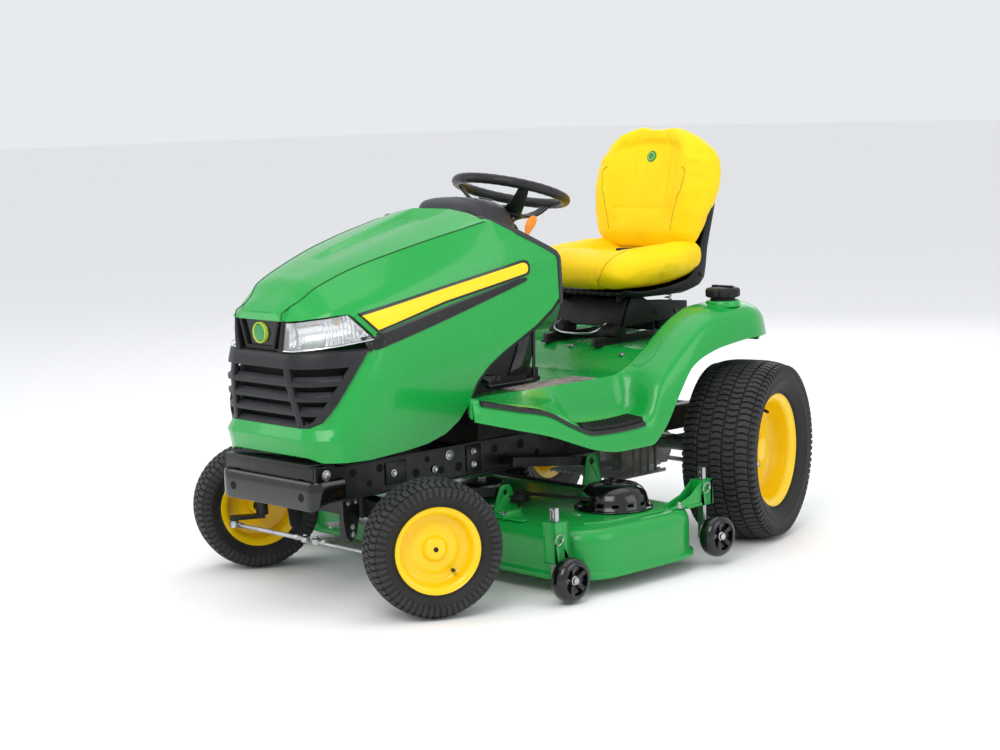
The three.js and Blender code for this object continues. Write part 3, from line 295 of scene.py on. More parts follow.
# ---------------------------------------------------------------- materials
def node_material(name, slot):
    material = bpy.data.materials.new(name)
    material.use_nodes = True
    material["slot"] = slot
    nodes, links = material.node_tree.nodes, material.node_tree.links
    return material, nodes, links, nodes["Principled BSDF"]


def noise(nodes, links, scale, detail=4, roughness=0.55, stretch=(1, 1, 1)):
    coordinates = nodes.new("ShaderNodeTexCoord")
    mapping = nodes.new("ShaderNodeMapping")
    mapping.inputs["Scale"].default_value = stretch
    texture = nodes.new("ShaderNodeTexNoise")
    texture.inputs["Scale"].default_value = scale
    texture.inputs["Detail"].default_value = detail
    texture.inputs["Roughness"].default_value = roughness
    links.new(coordinates.outputs["Object"], mapping.inputs["Vector"])
    links.new(mapping.outputs["Vector"], texture.inputs["Vector"])
    return texture


def spread(nodes, links, source, low, high, from_low=0.35, from_high=0.65):
    """source's 0..1 spread to low..high."""
    remap = nodes.new("ShaderNodeMapRange")
    for socket, value in (("From Min", from_low), ("From Max", from_high), ("To Min", low), ("To Max", high)):
        remap.inputs[socket].default_value = value
    links.new(source, remap.inputs["Value"])
    return remap.outputs["Result"]


def tint(nodes, links, factor, a, b):
    mix = nodes.new("ShaderNodeMix")
    mix.data_type = "RGBA"
    mix.inputs[6].default_value = (*a, 1)
    mix.inputs[7].default_value = (*b, 1)
    links.new(factor, mix.inputs[0])
    return mix.outputs[2]


def bump(nodes, links, height, strength, distance, shader, under=None):
    made = nodes.new("ShaderNodeBump")
    made.inputs["Strength"].default_value = strength
    made.inputs["Distance"].default_value = distance
    links.new(height, made.inputs["Height"])
    if under:
        links.new(under, made.inputs["Normal"])
    links.new(made.outputs["Normal"], shader.inputs["Normal"])
    return made.outputs["Normal"]


def painted(name, slot, colour, rough=(0.2, 0.3), coat=0.3, ripple=0.015, metallic=0.0):
    """Gloss paint or gel-smooth plastic: faint tone drift, orange peel and a clear coat."""
    material, nodes, links, shader = node_material(name, slot)
    drift = noise(nodes, links, 3, 2)
    deep = tuple(c * 0.93 for c in colour)
    light = tuple(min(1, c * 1.05) for c in colour)
    links.new(tint(nodes, links, drift.outputs["Fac"], deep, light), shader.inputs["Base Color"])
    wear = noise(nodes, links, 40, 6, 0.65)
    links.new(spread(nodes, links, wear.outputs["Fac"], *rough), shader.inputs["Roughness"])
    shader.inputs["Metallic"].default_value = metallic
    shader.inputs["Specular IOR Level"].default_value = 0.35
    shader.inputs["Coat Weight"].default_value = coat
    shader.inputs["Coat Roughness"].default_value = 0.05
    peel = noise(nodes, links, 260, 2)
    bump(nodes, links, peel.outputs["Fac"], ripple, 0.0006, shader)
    return material


def moulded(name, slot, colour, rough=(0.42, 0.58), grain=900, depth=0.12, coat=0.0):
    """Grained plastic: fine pits, uneven sheen and slightly paler scuffs."""
    material, nodes, links, shader = node_material(name, slot)
    scuff = noise(nodes, links, 14, 8, 0.7)
    pale = tuple(min(1, c * 1.6 + 0.006) for c in colour)
    links.new(
        tint(nodes, links, spread(nodes, links, scuff.outputs["Fac"], 0, 0.5, 0.45, 0.75), colour, pale),
        shader.inputs["Base Color"],
    )
    links.new(spread(nodes, links, scuff.outputs["Fac"], *rough), shader.inputs["Roughness"])
    shader.inputs["Specular IOR Level"].default_value = 0.28
    shader.inputs["Coat Weight"].default_value = coat
    pits = noise(nodes, links, grain, 2)
    bump(nodes, links, pits.outputs["Fac"], depth, 0.0004, shader)
    return material


def metal(name, slot, colour, rough=(0.25, 0.42), stretch=(1, 1, 1), metallic=1.0):
    material, nodes, links, shader = node_material(name, slot)
    stain = noise(nodes, links, 18, 8, 0.6, stretch)
    dull = tuple(c * 0.72 for c in colour)
    links.new(
        tint(nodes, links, spread(nodes, links, stain.outputs["Fac"], 0, 1), colour, dull), shader.inputs["Base Color"]
    )
    links.new(spread(nodes, links, stain.outputs["Fac"], *rough), shader.inputs["Roughness"])
    shader.inputs["Metallic"].default_value = metallic
    grain = noise(nodes, links, 500, 3, 0.5, stretch)
    bump(nodes, links, grain.outputs["Fac"], 0.1, 0.0003, shader)
    return material


def rubber_material(name, slot, colour):
    """Dry tyre rubber, greyer where it is worn."""
    material, nodes, links, shader = node_material(name, slot)
    dust = noise(nodes, links, 9, 8, 0.7)
    grey = tuple(c * 1.9 + 0.01 for c in colour)
    links.new(
        tint(nodes, links, spread(nodes, links, dust.outputs["Fac"], 0, 0.7, 0.4, 0.7), colour, grey),
        shader.inputs["Base Color"],
    )
    links.new(spread(nodes, links, dust.outputs["Fac"], 0.5, 0.72), shader.inputs["Roughness"])
    shader.inputs["Specular IOR Level"].default_value = 0.3
    skin = noise(nodes, links, 420, 4)
    bump(nodes, links, skin.outputs["Fac"], 0.25, 0.0006, shader)
    return material


def vinyl(name, slot, colour):
    """Seat vinyl: a leather-like grain of small cells, faint creases and soft sheen."""
    material, nodes, links, shader = node_material(name, slot)
    drift = noise(nodes, links, 6, 4)
    warm = (colour[0] * 0.95, colour[1] * 0.9, colour[2])
    links.new(
        tint(nodes, links, spread(nodes, links, drift.outputs["Fac"], 0, 1), colour, warm),
        shader.inputs["Base Color"]
    )
    links.new(spread(nodes, links, drift.outputs["Fac"], 0.5, 0.62), shader.inputs["Roughness"])
    shader.inputs["Specular IOR Level"].default_value = 0.22
    coordinates = nodes.new("ShaderNodeTexCoord")
    cells = nodes.new("ShaderNodeTexVoronoi")
    cells.feature = "DISTANCE_TO_EDGE"
    cells.inputs["Scale"].default_value = 420
    links.new(coordinates.outputs["Object"], cells.inputs["Vector"])
    grain = bump(nodes, links, cells.outputs["Distance"], 0.16, 0.0006, shader)
    crease = noise(nodes, links, 45, 6, 0.6)
    bump(nodes, links, crease.outputs["Fac"], 0.12, 0.003, shader, grain)
    return material


def lens_material(name, slot):
    """A clear moulded cover: the reflector behind it shows through."""
    material, nodes, links, shader = node_material(name, slot)
    cloud = noise(nodes, links, 16, 3)
    links.new(
        tint(nodes, links, cloud.outputs["Fac"], (0.86, 0.88, 0.9), (0.95, 0.96, 0.97)), shader.inputs["Base Color"]
    )
    links.new(spread(nodes, links, cloud.outputs["Fac"], 0.03, 0.08), shader.inputs["Roughness"])
    shader.inputs["Alpha"].default_value = 0.16
    shader.inputs["Coat Weight"].default_value = 1.0
    shader.inputs["Coat Roughness"].default_value = 0.02
    bump(nodes, links, cloud.outputs["Fac"], 0.05, 0.001, shader)
    return material


def mat_texture(name, slot):
    """Streaky grey-brown ribbed foot mat."""
    material, nodes, links, shader = node_material(name, slot)
    streak = noise(nodes, links, 30, 6, 0.7, (6, 0.5, 1))
    links.new(
        tint(
            nodes, links, spread(nodes, links, streak.outputs["Fac"], 0, 1, 0.35, 0.6), (0.05, 0.047, 0.045), (0.42, 0.36, 0.33)
        ),
        shader.inputs["Base Color"],
    )
    links.new(spread(nodes, links, streak.outputs["Fac"], 0.45, 0.7), shader.inputs["Roughness"])
    bump(nodes, links, streak.outputs["Fac"], 0.3, 0.001, shader)
    return material


GREEN = painted("green_gloss", "green_paint", (0.005, 0.330, 0.048), (0.24, 0.32), 0.35)
DECK_GREEN = painted("deck_green_gloss", "deck_green", (0.006, 0.300, 0.046), (0.28, 0.38), 0.3, 0.03)
YELLOW = painted("wheel_yellow_gloss", "wheel_yellow", (0.92, 0.60, 0.002), (0.28, 0.38), 0.3)
STRIPE = painted("stripe_yellow", "wheel_yellow", (0.95, 0.68, 0.002), (0.35, 0.45), 0.2)
BLACK = painted("black_enamel", "black_paint", (0.006, 0.006, 0.0065), (0.32, 0.48), 0.08, 0.04)
GLOSS_BLACK = painted("black_gloss", "black_plastic", (0.003, 0.003, 0.0035), (0.12, 0.22), 0.45, 0.01)
BLACK_PLASTIC = moulded("black_moulded", "black_plastic", (0.0065, 0.0065, 0.007))
WHEEL_GRIP = moulded("grip_moulded", "black_plastic", (0.014, 0.014, 0.016), (0.35, 0.5), 700, 0.2, 0.1)
# A darker copy of the hood green: painted shade along the hood's crease.
PAINTED_CREASE_SHADE = painted("hood_crease_painted_shade", "green_paint", (0.0012, 0.075, 0.011), (0.4, 0.5), 0.0)
GRILLE = moulded("grille_moulded", "charcoal_plastic", (0.017, 0.018, 0.020), (0.34, 0.46), 1100, 0.08)
CHARCOAL = moulded("charcoal_moulded", "charcoal_plastic", (0.034, 0.036, 0.041), (0.4, 0.52), 1100, 0.1)
# A lighter copy of the grille charcoal: painted highlight on the ledges' upward slopes.
LEDGE_HIGHLIGHT = moulded("grille_ledge_painted_highlight", "charcoal_plastic", (0.040, 0.042, 0.046), (0.3, 0.42), 1100, 0.08)
SEAM = moulded("seam_thread", "seat_vinyl", (0.30, 0.19, 0.002), (0.6, 0.7))
# A near-black used as painted shadow: the sheet behind the grille, the insides of holes and the lip of the seat's drain
# slot.
SHADOW = moulded("painted_shadow", "charcoal_plastic", (0.006, 0.006, 0.0065), (0.7, 0.85))
RUBBER = rubber_material("tyre_rubber", "tyre_rubber", (0.010, 0.010, 0.0105))
# A lighter copy of the tyre rubber: painted highlight that makes the tread blocks and shoulder lugs stand out from the
# grooves.
TREAD_HIGHLIGHT = rubber_material("tread_rubber_painted_highlight", "tyre_rubber", (0.021, 0.021, 0.0215))
BELT = rubber_material("belt_rubber", "belt_rubber", (0.014, 0.014, 0.014))
STEEL = metal("zinc_steel", "bare_steel", (0.58, 0.58, 0.6))
ALUMINIUM = metal("cast_alloy", "cast_aluminium", (0.40, 0.41, 0.43), (0.45, 0.65))
VINYL = vinyl("seat_vinyl", "seat_vinyl", (0.96, 0.66, 0.0015))
LENS = lens_material("lamp_lens", "clear_lens")
ORANGE = painted("orange_gloss", "orange_plastic", (0.95, 0.27, 0.008), (0.3, 0.4), 0.2)
BADGE_GREEN = painted("badge_green", "deck_green", (0.012, 0.25, 0.05), (0.2, 0.3), 0.8)
BADGE_RING = painted("badge_ring", "wheel_yellow", (0.45, 0.62, 0.06), (0.2, 0.3), 0.8)
MAT = mat_texture("foot_mat", "black_plastic")
LAMP_SILVER = metal("lamp_silver", "clear_lens", (0.86, 0.88, 0.9), (0.12, 0.25))
AMBER = painted("amber_bulb", "clear_lens", (0.35, 0.17, 0.02), (0.2, 0.3))


# ---------------------------------------------------------------- the hood's surface
# At y: centre height, then (x, z) of the crease, the shoulder, the side's middle and the hem.
HOOD = [
    (-0.917, 0.860, 0.084, 0.852, 0.104, 0.812, 0.132, 0.620, 0.166, 0.440),
    (-0.906, 0.878, 0.100, 0.868, 0.136, 0.828, 0.166, 0.620, 0.200, 0.430),
    (-0.872, 0.902, 0.115, 0.888, 0.176, 0.840, 0.212, 0.620, 0.244, 0.430),
    (-0.800, 0.944, 0.138, 0.926, 0.222, 0.856, 0.246, 0.620, 0.266, 0.430),
    (-0.700, 0.986, 0.157, 0.966, 0.250, 0.876, 0.268, 0.640, 0.274, 0.430),
    (-0.550, 1.032, 0.194, 1.010, 0.268, 0.905, 0.284, 0.660, 0.280, 0.430),
    (-0.350, 1.106, 0.228, 1.056, 0.282, 0.940, 0.294, 0.690, 0.284, 0.430),
    (-0.180, 1.110, 0.246, 1.086, 0.290, 0.965, 0.300, 0.740, 0.290, 0.430),
    (0.004, 1.110, 0.252, 1.092, 0.296, 0.985, 0.302, 0.780, 0.296, 0.430),
]
HOOD_Y = [s[0] for s in HOOD]
# The centre line of the top: straight from the nose to a corner ahead of the cowl.
TOP_LINE = [
    (-0.917, 0.860), (-0.906, 0.878), (-0.872, 0.902), (-0.80, 0.942), (-0.74, 0.964), (-0.68, 0.985), (-0.58, 1.017),
    (-0.46, 1.052), (-0.34, 1.086), (-0.241, 1.1127), (-0.18, 1.112), (0.004, 1.106)
]
# The channel on top: half width of its floor and of its rim, and its depth, along the hood.
SCOOP = [
    (-0.917, 0.012, 0.040, 0.0), (-0.70, 0.012, 0.050, 0.0), (-0.684, 0.016, 0.056, 0.0),
    (-0.655, 0.030, 0.060, 0.008), (-0.45, 0.052, 0.070, 0.015), (-0.282, 0.070, 0.084, 0.021),
    (-0.241, 0.074, 0.080, 0.0), (0.004, 0.080, 0.090, 0.0)
]
# How far back the nose stands at each height: it leans back below the grille's top and above the badge.
NOSE = [
    (0.40, -0.884), (0.452, -0.889), (0.498, -0.906), (0.526, -0.894), (0.570, -0.901), (0.619, -0.911),
    (0.667, -0.917), (0.705, -0.917), (0.742, -0.912), (0.815, -0.912), (0.835, -0.913), (0.852, -0.905),
    (0.875, -0.893)
]
# The slanted side edge of the grille (y, z), which the hood's chamfer follows.
GRILLE_EDGE = [(-0.885, 0.533), (-0.862, 0.550), (-0.828, 0.598), (-0.704, 0.765)]
CHAMFER = 0.032
ROWS = [
    0.06, 0.12, 0.19, 0.24, 0.288, 0.34, 0.39, 0.45, 0.519, 0.585, 0.651, 0.707, 0.763, 0.80, 0.832, 0.850, 0.89,
    0.93, 0.968
]
HOOD_STEPS = [-0.917, -0.914, -0.906] + [round(y, 3) for y in np.arange(-0.896, -0.70, 0.012)] + [
    -0.69, -0.684, -0.678, -0.666, -0.655, -0.645, -0.63, -0.59, -0.55, -0.5, -0.45, -0.4, -0.35, -0.32, -0.288,
    -0.282, -0.276, -0.247, -0.241, -0.235, -0.21, -0.18, -0.14, -0.1, -0.06, -0.03, 0.004
]


def lean(y, z):
    """How far the nose's surface stands back from the loft at (y, z)."""
    t = min(1, max(0, (-y - 0.80) / 0.085))
    return (float(np.interp(z, [p[0] for p in NOSE], [p[1] for p in NOSE])) + 0.917) * t * t * (3 - 2 * t)


def edge_distance(y, z):
    """Distance in the side view from the grille's slanted edge."""
    p = Vector((y, z))
    best = 1.0
    for a, b in zip(GRILLE_EDGE, GRILLE_EDGE[1:]):
        a, b = Vector(a), Vector(b)
        t = min(1, max(0, (p - a).dot(b - a) / (b - a).length_squared))
        best = min(best, (p - a - (b - a) * t).length)
    return best


def hood_half(y, chamfered=True):
    """The hood's half section at y, from the top centre to the hem, as (x, z)."""
    top, cx, cz, sx, sz, dx, dz, hx, hz = smooth_between(HOOD_Y, [s[1:] for s in HOOD], y)
    top = float(np.interp(y, [p[0] for p in TOP_LINE], [p[1] for p in TOP_LINE]))
    floor, rim, depth = (float(np.interp(y, [s[0] for s in SCOOP], [s[k] for s in SCOOP])) for k in (1, 2, 3))
    middle = ((rim + cx) / 2, (top + cz) / 2 + 0.005)
    shoulder = smooth_between(
        HOOD_Y, [[r] for r in (0.010, 0.016, 0.022, 0.03, 0.04, 0.055, 0.07, 0.075, 0.08)], y
    )[0]
    wall_z = [hz, dz, sz]
    wall_x = [hx, dx, sx]
    low = top - depth
    points = [(0, low), (floor * 0.6, low), (floor, low), (rim, top), middle, (cx, cz), (sx, sz)]
    radii = [0, 0, 0.003, 0.007, 0, 0.003, shoulder]
    for t in ROWS:
        z = sz + (hz - sz) * t
        x = np.interp(z, wall_z, wall_x)
        bulge = 0.004 * math.sin(math.pi * t)
        cut_back = max(0, 1 - edge_distance(y, z) / CHAMFER) if chamfered and y > -0.9 and z > 0.5 else 0
        points.append((x + bulge - 0.011 * cut_back, z))
        radii.append(0)
    points.append((hx, hz))
    radii.append(0)
    out = []
    n = len(points)
    for i, p in enumerate(points):
        if not radii[i]:
            out.append(Vector(p))
            continue
        p, a, b = Vector(p), Vector(points[i - 1]), Vector(points[min(i + 1, n - 1)])
        if i == 6:
            b = Vector(points[i + 1 + int(shoulder > 0.03)])
        a, b = a - p, b - p
        r = min(radii[i], a.length * 0.45, b.length * 0.9 if i == 6 else b.length * 0.45)
        start, end = p + a.normalized() * r, p + b.normalized() * r
        out += [(1 - t) ** 2 * start + 2 * t * (1 - t) * p + t * t * end for t in np.linspace(0, 1, 7)]
    return out


SECTIONS = {}


def hood_x(y, z, chamfered=False):
    """The hood's half width at (y, z)."""
    key = (round(y, 4), chamfered)
    if key not in SECTIONS:
        half = [p for p in hood_half(y, chamfered) if p[0] > 0.02][::-1]
        SECTIONS[key] = ([p[1] for p in half], [p[0] for p in half])
    zs, xs = SECTIONS[key]
    order = np.argsort(zs)
    return float(np.interp(z, np.array(zs)[order], np.array(xs)[order]))


OUTLINES = {}


def outline(z, s):
    """The point on the nose at height z, s metres from its middle around the corner, and its inward direction."""
    key = round(z, 4)
    if key not in OUTLINES:
        ys = [-0.917, -0.914, -0.911, -0.906, -0.899] + list(np.arange(-0.89, -0.55, 0.01))
        line = [Vector((0, -0.917 + lean(-0.917, z)))]
        line += [Vector((hood_x(y, z), y + lean(y, z))) for y in ys]
        OUTLINES[key] = (line, np.cumsum([0] + [(b - a).length for a, b in zip(line, line[1:])]))
    line, lengths = OUTLINES[key]
    at = abs(s)
    x = float(np.interp(at, lengths, [p[0] for p in line]))
    y = float(np.interp(at, lengths, [p[1] for p in line]))
    ahead = Vector(
        (
            float(np.interp(at + 0.004, lengths, [p[0] for p in line])),
            float(np.interp(at + 0.004, lengths, [p[1] for p in line]))
        )
    )
    behind = Vector(
        (
            float(np.interp(max(0, at - 0.004), lengths, [p[0] for p in line])),
            float(np.interp(max(0, at - 0.004), lengths, [p[1] for p in line]))
        )
    )
    along = (ahead - behind).normalized()
    inward = Vector((-along[1], along[0]))
    sign = 1 if s >= 0 else -1
    return Vector((x * sign, y, z)), Vector((inward[0] * sign, inward[1], 0))


def corner(z):
    """How far around the nose its front corner lies at height z."""
    return hood_x(-0.917, z)


def around(z, y):
    """How far around the nose the point with this y lies, behind the corner."""
    outline(z, 0.1)
    line, lengths = OUTLINES[round(z, 4)]
    return float(np.interp(y, [p[1] for p in line[1:]], lengths[1:]))


def wrap(rows, depth, proud=0.0, steps=14):
    """A panel on the nose: rows of (z, from s, to s); it reaches `depth` inwards from `proud` outside the surface."""
    grid = []
    for z, s0, s1 in rows:
        line = []
        for s in np.linspace(s0, s1, steps):
            p, inward = outline(z, float(s))
            line.append((p - inward * proud, p + inward * (depth - proud)))
        grid.append(line)
    rings = []
    for line in grid:
        rings.append([a for a, _ in line] + [b for _, b in reversed(line)])
    return loft(rings)


def side_wrap(top, bottom, side, depth, proud, steps=24, across=4):
    """A panel on the hood's side between two side-view lines of (y, z)."""
    rings = []
    for a, b in zip(resample(top, steps), resample(bottom, steps)):
        outer, inner = [], []
        for t in np.linspace(0, 1, across):
            y, z = a[0] + (b[0] - a[0]) * t, a[1] + (b[1] - a[1]) * t
            x = hood_x(y, z, True)
            outer.append((side * (x + proud), y + lean(y, z), z))
            inner.append((side * (x + proud - depth), y + lean(y, z), z))
        rings.append(outer + inner[::-1])
    return loft(rings)


def side_prism(points, x0=-0.4, x1=0.4):
    return raw("tool", prism(points, "yz", x0, x1))


# ---------------------------------------------------------------- hood
def build_hood():
    rings = []
    for y in HOOD_STEPS:
        half = hood_half(y)
        right = [(-x, y + lean(y, z), z) for x, z in half[:0:-1]]
        left = [(x, y + lean(y, z), z) for x, z in half]
        rings.append(right + left)
    n = len(rings[0])
    verts, faces = loft(rings, closed=False)
    for i in range(n // 2):
        faces.append((i, i + 1, n - 2 - i, n - 1 - i) if i + 1 < n - 2 - i else (i, i + 1, n - 1 - i))
    hood = raw("hood_shell_detail", (verts, faces))
    thicken(hood, 0.005)
    keep = [
        (-0.95, 0.455), (-0.892, 0.450), (-0.868, 0.434), (-0.74, 0.432), (-0.610, 0.442), (-0.53, 0.452),
        (-0.462, 0.472), (-0.41, 0.505), (-0.375, 0.545), (-0.338, 0.612), (-0.29, 0.656), (-0.230, 0.692),
        (-0.100, 0.755), (-0.030, 0.800), (0.002, 0.830), (0.002, 0.963), (-0.236, 1.088), (-0.236, 1.2), (-0.95, 1.2)
    ]
    boolean(hood, side_prism(keep), "INTERSECT")
    opening = [
        (-0.96, 0.529), (-0.886, 0.531), (-0.862, 0.547), (-0.826, 0.596), (-0.703, 0.763), (-0.690, 0.772),
        (-0.766, 0.8475), (-0.80, 0.8465), (-0.905, 0.8335), (-0.96, 0.830)
    ]
    boolean(hood, side_prism(opening))
    add_bevel(hood, 0.0016, 2, 50)
    dress(hood, GREEN, "hood", replaces=["hood_shell"], angle=19)

    # The black strip along the side, the yellow stripe with its dark edges, and the green ridge between them.
    for name, side in SIDES:
        vent_top = [
            (-0.742, 0.7795), (-0.700, 0.7855), (-0.45, 0.8440), (-0.16, 0.9030), (-0.134, 0.9050), (-0.126, 0.9020)
        ]
        vent_low = [
            (-0.715, 0.7450), (-0.694, 0.7410), (-0.45, 0.8050), (-0.16, 0.8850), (-0.134, 0.8930), (-0.126, 0.8980)
        ]
        strip = side_wrap(vent_top, vent_low, side, 0.009, 0.0026, 90, 8)
        piece("hood_strip_" + name, strip, GLOSS_BLACK, "hood", 0.0006)
        edge_top = [(-0.745, 0.8475), (-0.45, 0.9030), (-0.135, 0.9580), (-0.117, 0.9520), (-0.113, 0.9400)]
        edge_low = [(-0.688, 0.7900), (-0.45, 0.8520), (-0.135, 0.9090), (-0.119, 0.9130), (-0.113, 0.9260)]
        border = side_wrap(edge_top, edge_low, side, 0.009, 0.0030, 90, 8)
        piece("stripe_border_" + name, border, GLOSS_BLACK, "hood", 0.0004)
        stripe_top = [(-0.733, 0.8415), (-0.45, 0.8960), (-0.140, 0.9500), (-0.126, 0.9460), (-0.122, 0.9380)]
        stripe_low = [(-0.6860, 0.7975), (-0.45, 0.8600), (-0.140, 0.9160), (-0.127, 0.9190), (-0.122, 0.9270)]
        stripe = side_wrap(stripe_top, stripe_low, side, 0.009, 0.0045, 90, 8)
        piece("stripe_" + name, stripe, STRIPE, "hood", 0.0004)
        # A thin tube of darker green along the crease, painted shade in the groove.
        crease = [(side * 0.108, -0.9125, 0.838), (side * 0.106, -0.908, 0.856)]
        for y in np.linspace(-0.898, -0.243, 60):
            x, z = smooth_between(HOOD_Y, [[r[2], r[3]] for r in HOOD], float(y))
            crease.append((side * (x + 0.0006), float(y) + lean(float(y), z), z - 0.0002))
        piece("hood_crease_painted_shade_" + name, tube(crease, 0.0018, 8), PAINTED_CREASE_SHADE, "hood")
        rim_line = [
            (-0.375, 0.545), (-0.338, 0.612), (-0.29, 0.656), (-0.230, 0.692), (-0.100, 0.755), (-0.030, 0.800),
            (0.000, 0.828)
        ]
        trim = [(side * (hood_x(y, z, True) - 0.002), y + 0.002, z - 0.0015) for y, z in resample(rim_line, 50)]
        piece("hood_edge_trim_" + name, tube(trim, 0.0055, 10), BLACK_PLASTIC, "hood")
        start, end = (-0.752, 0.838), (-0.694, 0.781)
        line = [
            (start[0] + (end[0] - start[0]) * t, start[1] + (end[1] - start[1]) * t)
            for t in np.linspace(0, 1, 8)
        ]
        ridge = Shape().add(tube([(side * (hood_x(y, z, True) + 0.0005), y, z) for y, z in line], 0.0045, 10))
        piece("light_ridge_" + name, ridge, GREEN, "hood")


def build_grille():
    """The charcoal grille that wraps the nose: a top band, four louvred rows, corner posts and the slanted border."""
    edge_z = [p[1] for p in GRILLE_EDGE]
    edge_y = [p[0] for p in GRILLE_EDGE]

    def reach(z, inset=0.0):
        return around(z, float(np.interp(z, edge_z, edge_y))) - inset

    frame_shape = Shape()
    band = [(z, -reach(z, 0.001), reach(z, 0.001)) for z in (0.700, 0.712, 0.726, 0.742)]
    frame_shape.add(wrap(band, 0.014, 0.0, 61))
    low = [(z, -reach(z, 0.001), reach(z, 0.001)) for z in (0.533, 0.5345, 0.536)]
    frame_shape.add(wrap(low, 0.014, 0.0, 49))
    for side in (1, -1):
        post = [(z, side * (corner(z) - 0.010), side * (corner(z) + 0.014)) for z in np.linspace(0.536, 0.70, 12)]
        frame_shape.add(wrap(post, 0.016, 0.0, 7))
        border = [(z, side * reach(z, 0.034), side * reach(z, 0.001)) for z in np.linspace(0.534, 0.742, 14)]
        frame_shape.add(wrap(border, 0.014, 0.0005, 6))
    for z0, z1 in ((0.650, 0.664), (0.607, 0.621), (0.5655, 0.579)):
        bar = [(z, -reach(z, 0.02), reach(z, 0.02)) for z in (z0, (z0 + z1) / 2, z1)]
        frame_shape.add(wrap(bar, 0.014, -0.0005, 61))
    piece("grille_bars", frame_shape, GRILLE, "hood", 0.0012, angle=40, replaces=["grille"])

    # Each row has a ledge that slopes up from its bar towards the screen behind it. The ledges are a lighter charcoal,
    # painted highlight on their upward slope; the screen is a dark sheet of painted shadow.
    ledges = Shape()
    for z0, rise in ((0.6635, 0.0135), (0.6205, 0.0135), (0.5785, 0.0135), (0.5355, 0.0135)):
        for s0, s1 in ((-0.99, 0.99), (1.0, 2.0), (-2.0, -1.0)):
            front, back = [], []
            for t in np.linspace(0, 1, 14):
                c, r = corner(z0), reach(z0, 0.02)
                u = s0 + (s1 - s0) * t
                s = u * (c - 0.004) if abs(u) <= 1 else math.copysign(c + 0.006 + (abs(u) - 1) * (r - c - 0.004), u)
                p, inward = outline(z0, s)
                front.append(p + inward * 0.0012)
                back.append(p + inward * 0.017 + Z * rise)
            ring_a = front + back[::-1]
            ledges.add(loft([ring_a, [q - Z * 0.004 for q in ring_a]]))
    piece("grille_ledges", ledges, LEDGE_HIGHLIGHT, "hood", 0.0004, angle=40)

    # A dark sheet behind the rows, painted shadow where the grille's inside is shaded.
    screen = [(z, -reach(z, 0.006), reach(z, 0.006)) for z in np.linspace(0.534, 0.74, 9)]
    piece("grille_painted_shadow_screen", wrap(screen, 0.006, -0.036, 41), SHADOW, "hood")

    # The sloping shelf below the badge and the lights.
    low, high = 0.7415, 0.7485
    rise, slope, depth = Z * (high - low), 0.010, 0.03
    rings = []
    for s in np.linspace(-around(0.745, -0.708), around(0.745, -0.708), 61):
        p, inward = outline(low, float(s))
        rings.append(
            [p, p + inward * slope + rise, p + inward * depth + rise, p + inward * depth - Z * 0.004, p - Z * 0.002]
        )
    piece("grille_shelf", Shape().add(loft(rings)), GRILLE, "hood", 0.0006)


def build_badge():
    """The black panel between the lights, with its raised frame and a plain ringed disc."""
    panel = [(z, -0.121, 0.121) for z in (0.744, 0.79, 0.835)]
    piece("badge_panel", wrap(panel, 0.006, -0.012, 31), GLOSS_BLACK, "hood")
    rim_pieces = Shape()

    def front_y(z):
        return -0.917 + lean(-0.917, z)

    # Two slanted posts beside the lights, and the frame around the badge.
    for side in (1, -1):
        post = [
            (0.7425, side * 0.088, side * 0.112), (0.79, side * 0.098, side * 0.117),
            (0.8345, side * 0.106, side * 0.121)
        ]
        rim_pieces.add(wrap(post, 0.014, 0.001, 5))
    piece("badge_posts", rim_pieces, BLACK_PLASTIC, "hood", 0.002)
    outer = [(-0.094, 0.8325), (-0.066, 0.7515), (0.066, 0.7515), (0.094, 0.8325)]
    inner = [(-0.082, 0.8345), (-0.0585, 0.7605), (0.0585, 0.7605), (0.082, 0.8345)]
    trim = Shape()
    for i in range(3):
        quad = [outer[i], outer[i + 1], inner[i + 1], inner[i]]
        front = [(x, front_y(z) + 0.003, z) for x, z in quad]
        back = [(x, front_y(z) + 0.014, z) for x, z in quad]
        trim.add(loft([front, back]))
    piece("badge_frame", trim, BLACK_PLASTIC, "hood", 0.0015)
    y = front_y(0.795)
    disc = turned(
        [(0, 0.0015), (0.0235, 0.0030), (0.0250, 0.0055), (0.0250, 0.013), (0, 0.013)], 48, (0, y, 0.796),
        (0, 1, 0.02)
    )
    piece("badge_disc", disc, BADGE_GREEN, "hood")
    ring = turned(
        [(0.0255, 0.0045), (0.0272, 0.0008), (0.0295, 0.0010), (0.0310, 0.0045), (0.0310, 0.013), (0.0255, 0.013)],
        56, (0, y, 0.796), (0, 1, 0.02), closed=True
    )
    piece("badge_ring", ring, BADGE_RING, "hood")


LAMP_INBOARD = 0.30  # the part of the lamp that runs across the nose, before it follows the hood back


def lamp_span(u):
    """The lower and upper edges of the headlight, and how far around the nose, at u from 0 inboard to 1 at its tail."""
    y = -0.905 + (u - 0.12) / 0.88 * 0.203 if u > 0.12 else -0.907
    low = 0.7505 + 0.0225 * max(0, (y + 0.905) / 0.205)
    high = 0.8295 + 0.0165 * max(0, (y + 0.906) / 0.134) if y < -0.770 else 0.8462 - (y + 0.770) / 0.070 * 0.0735
    return low, max(high, low + 0.002), y


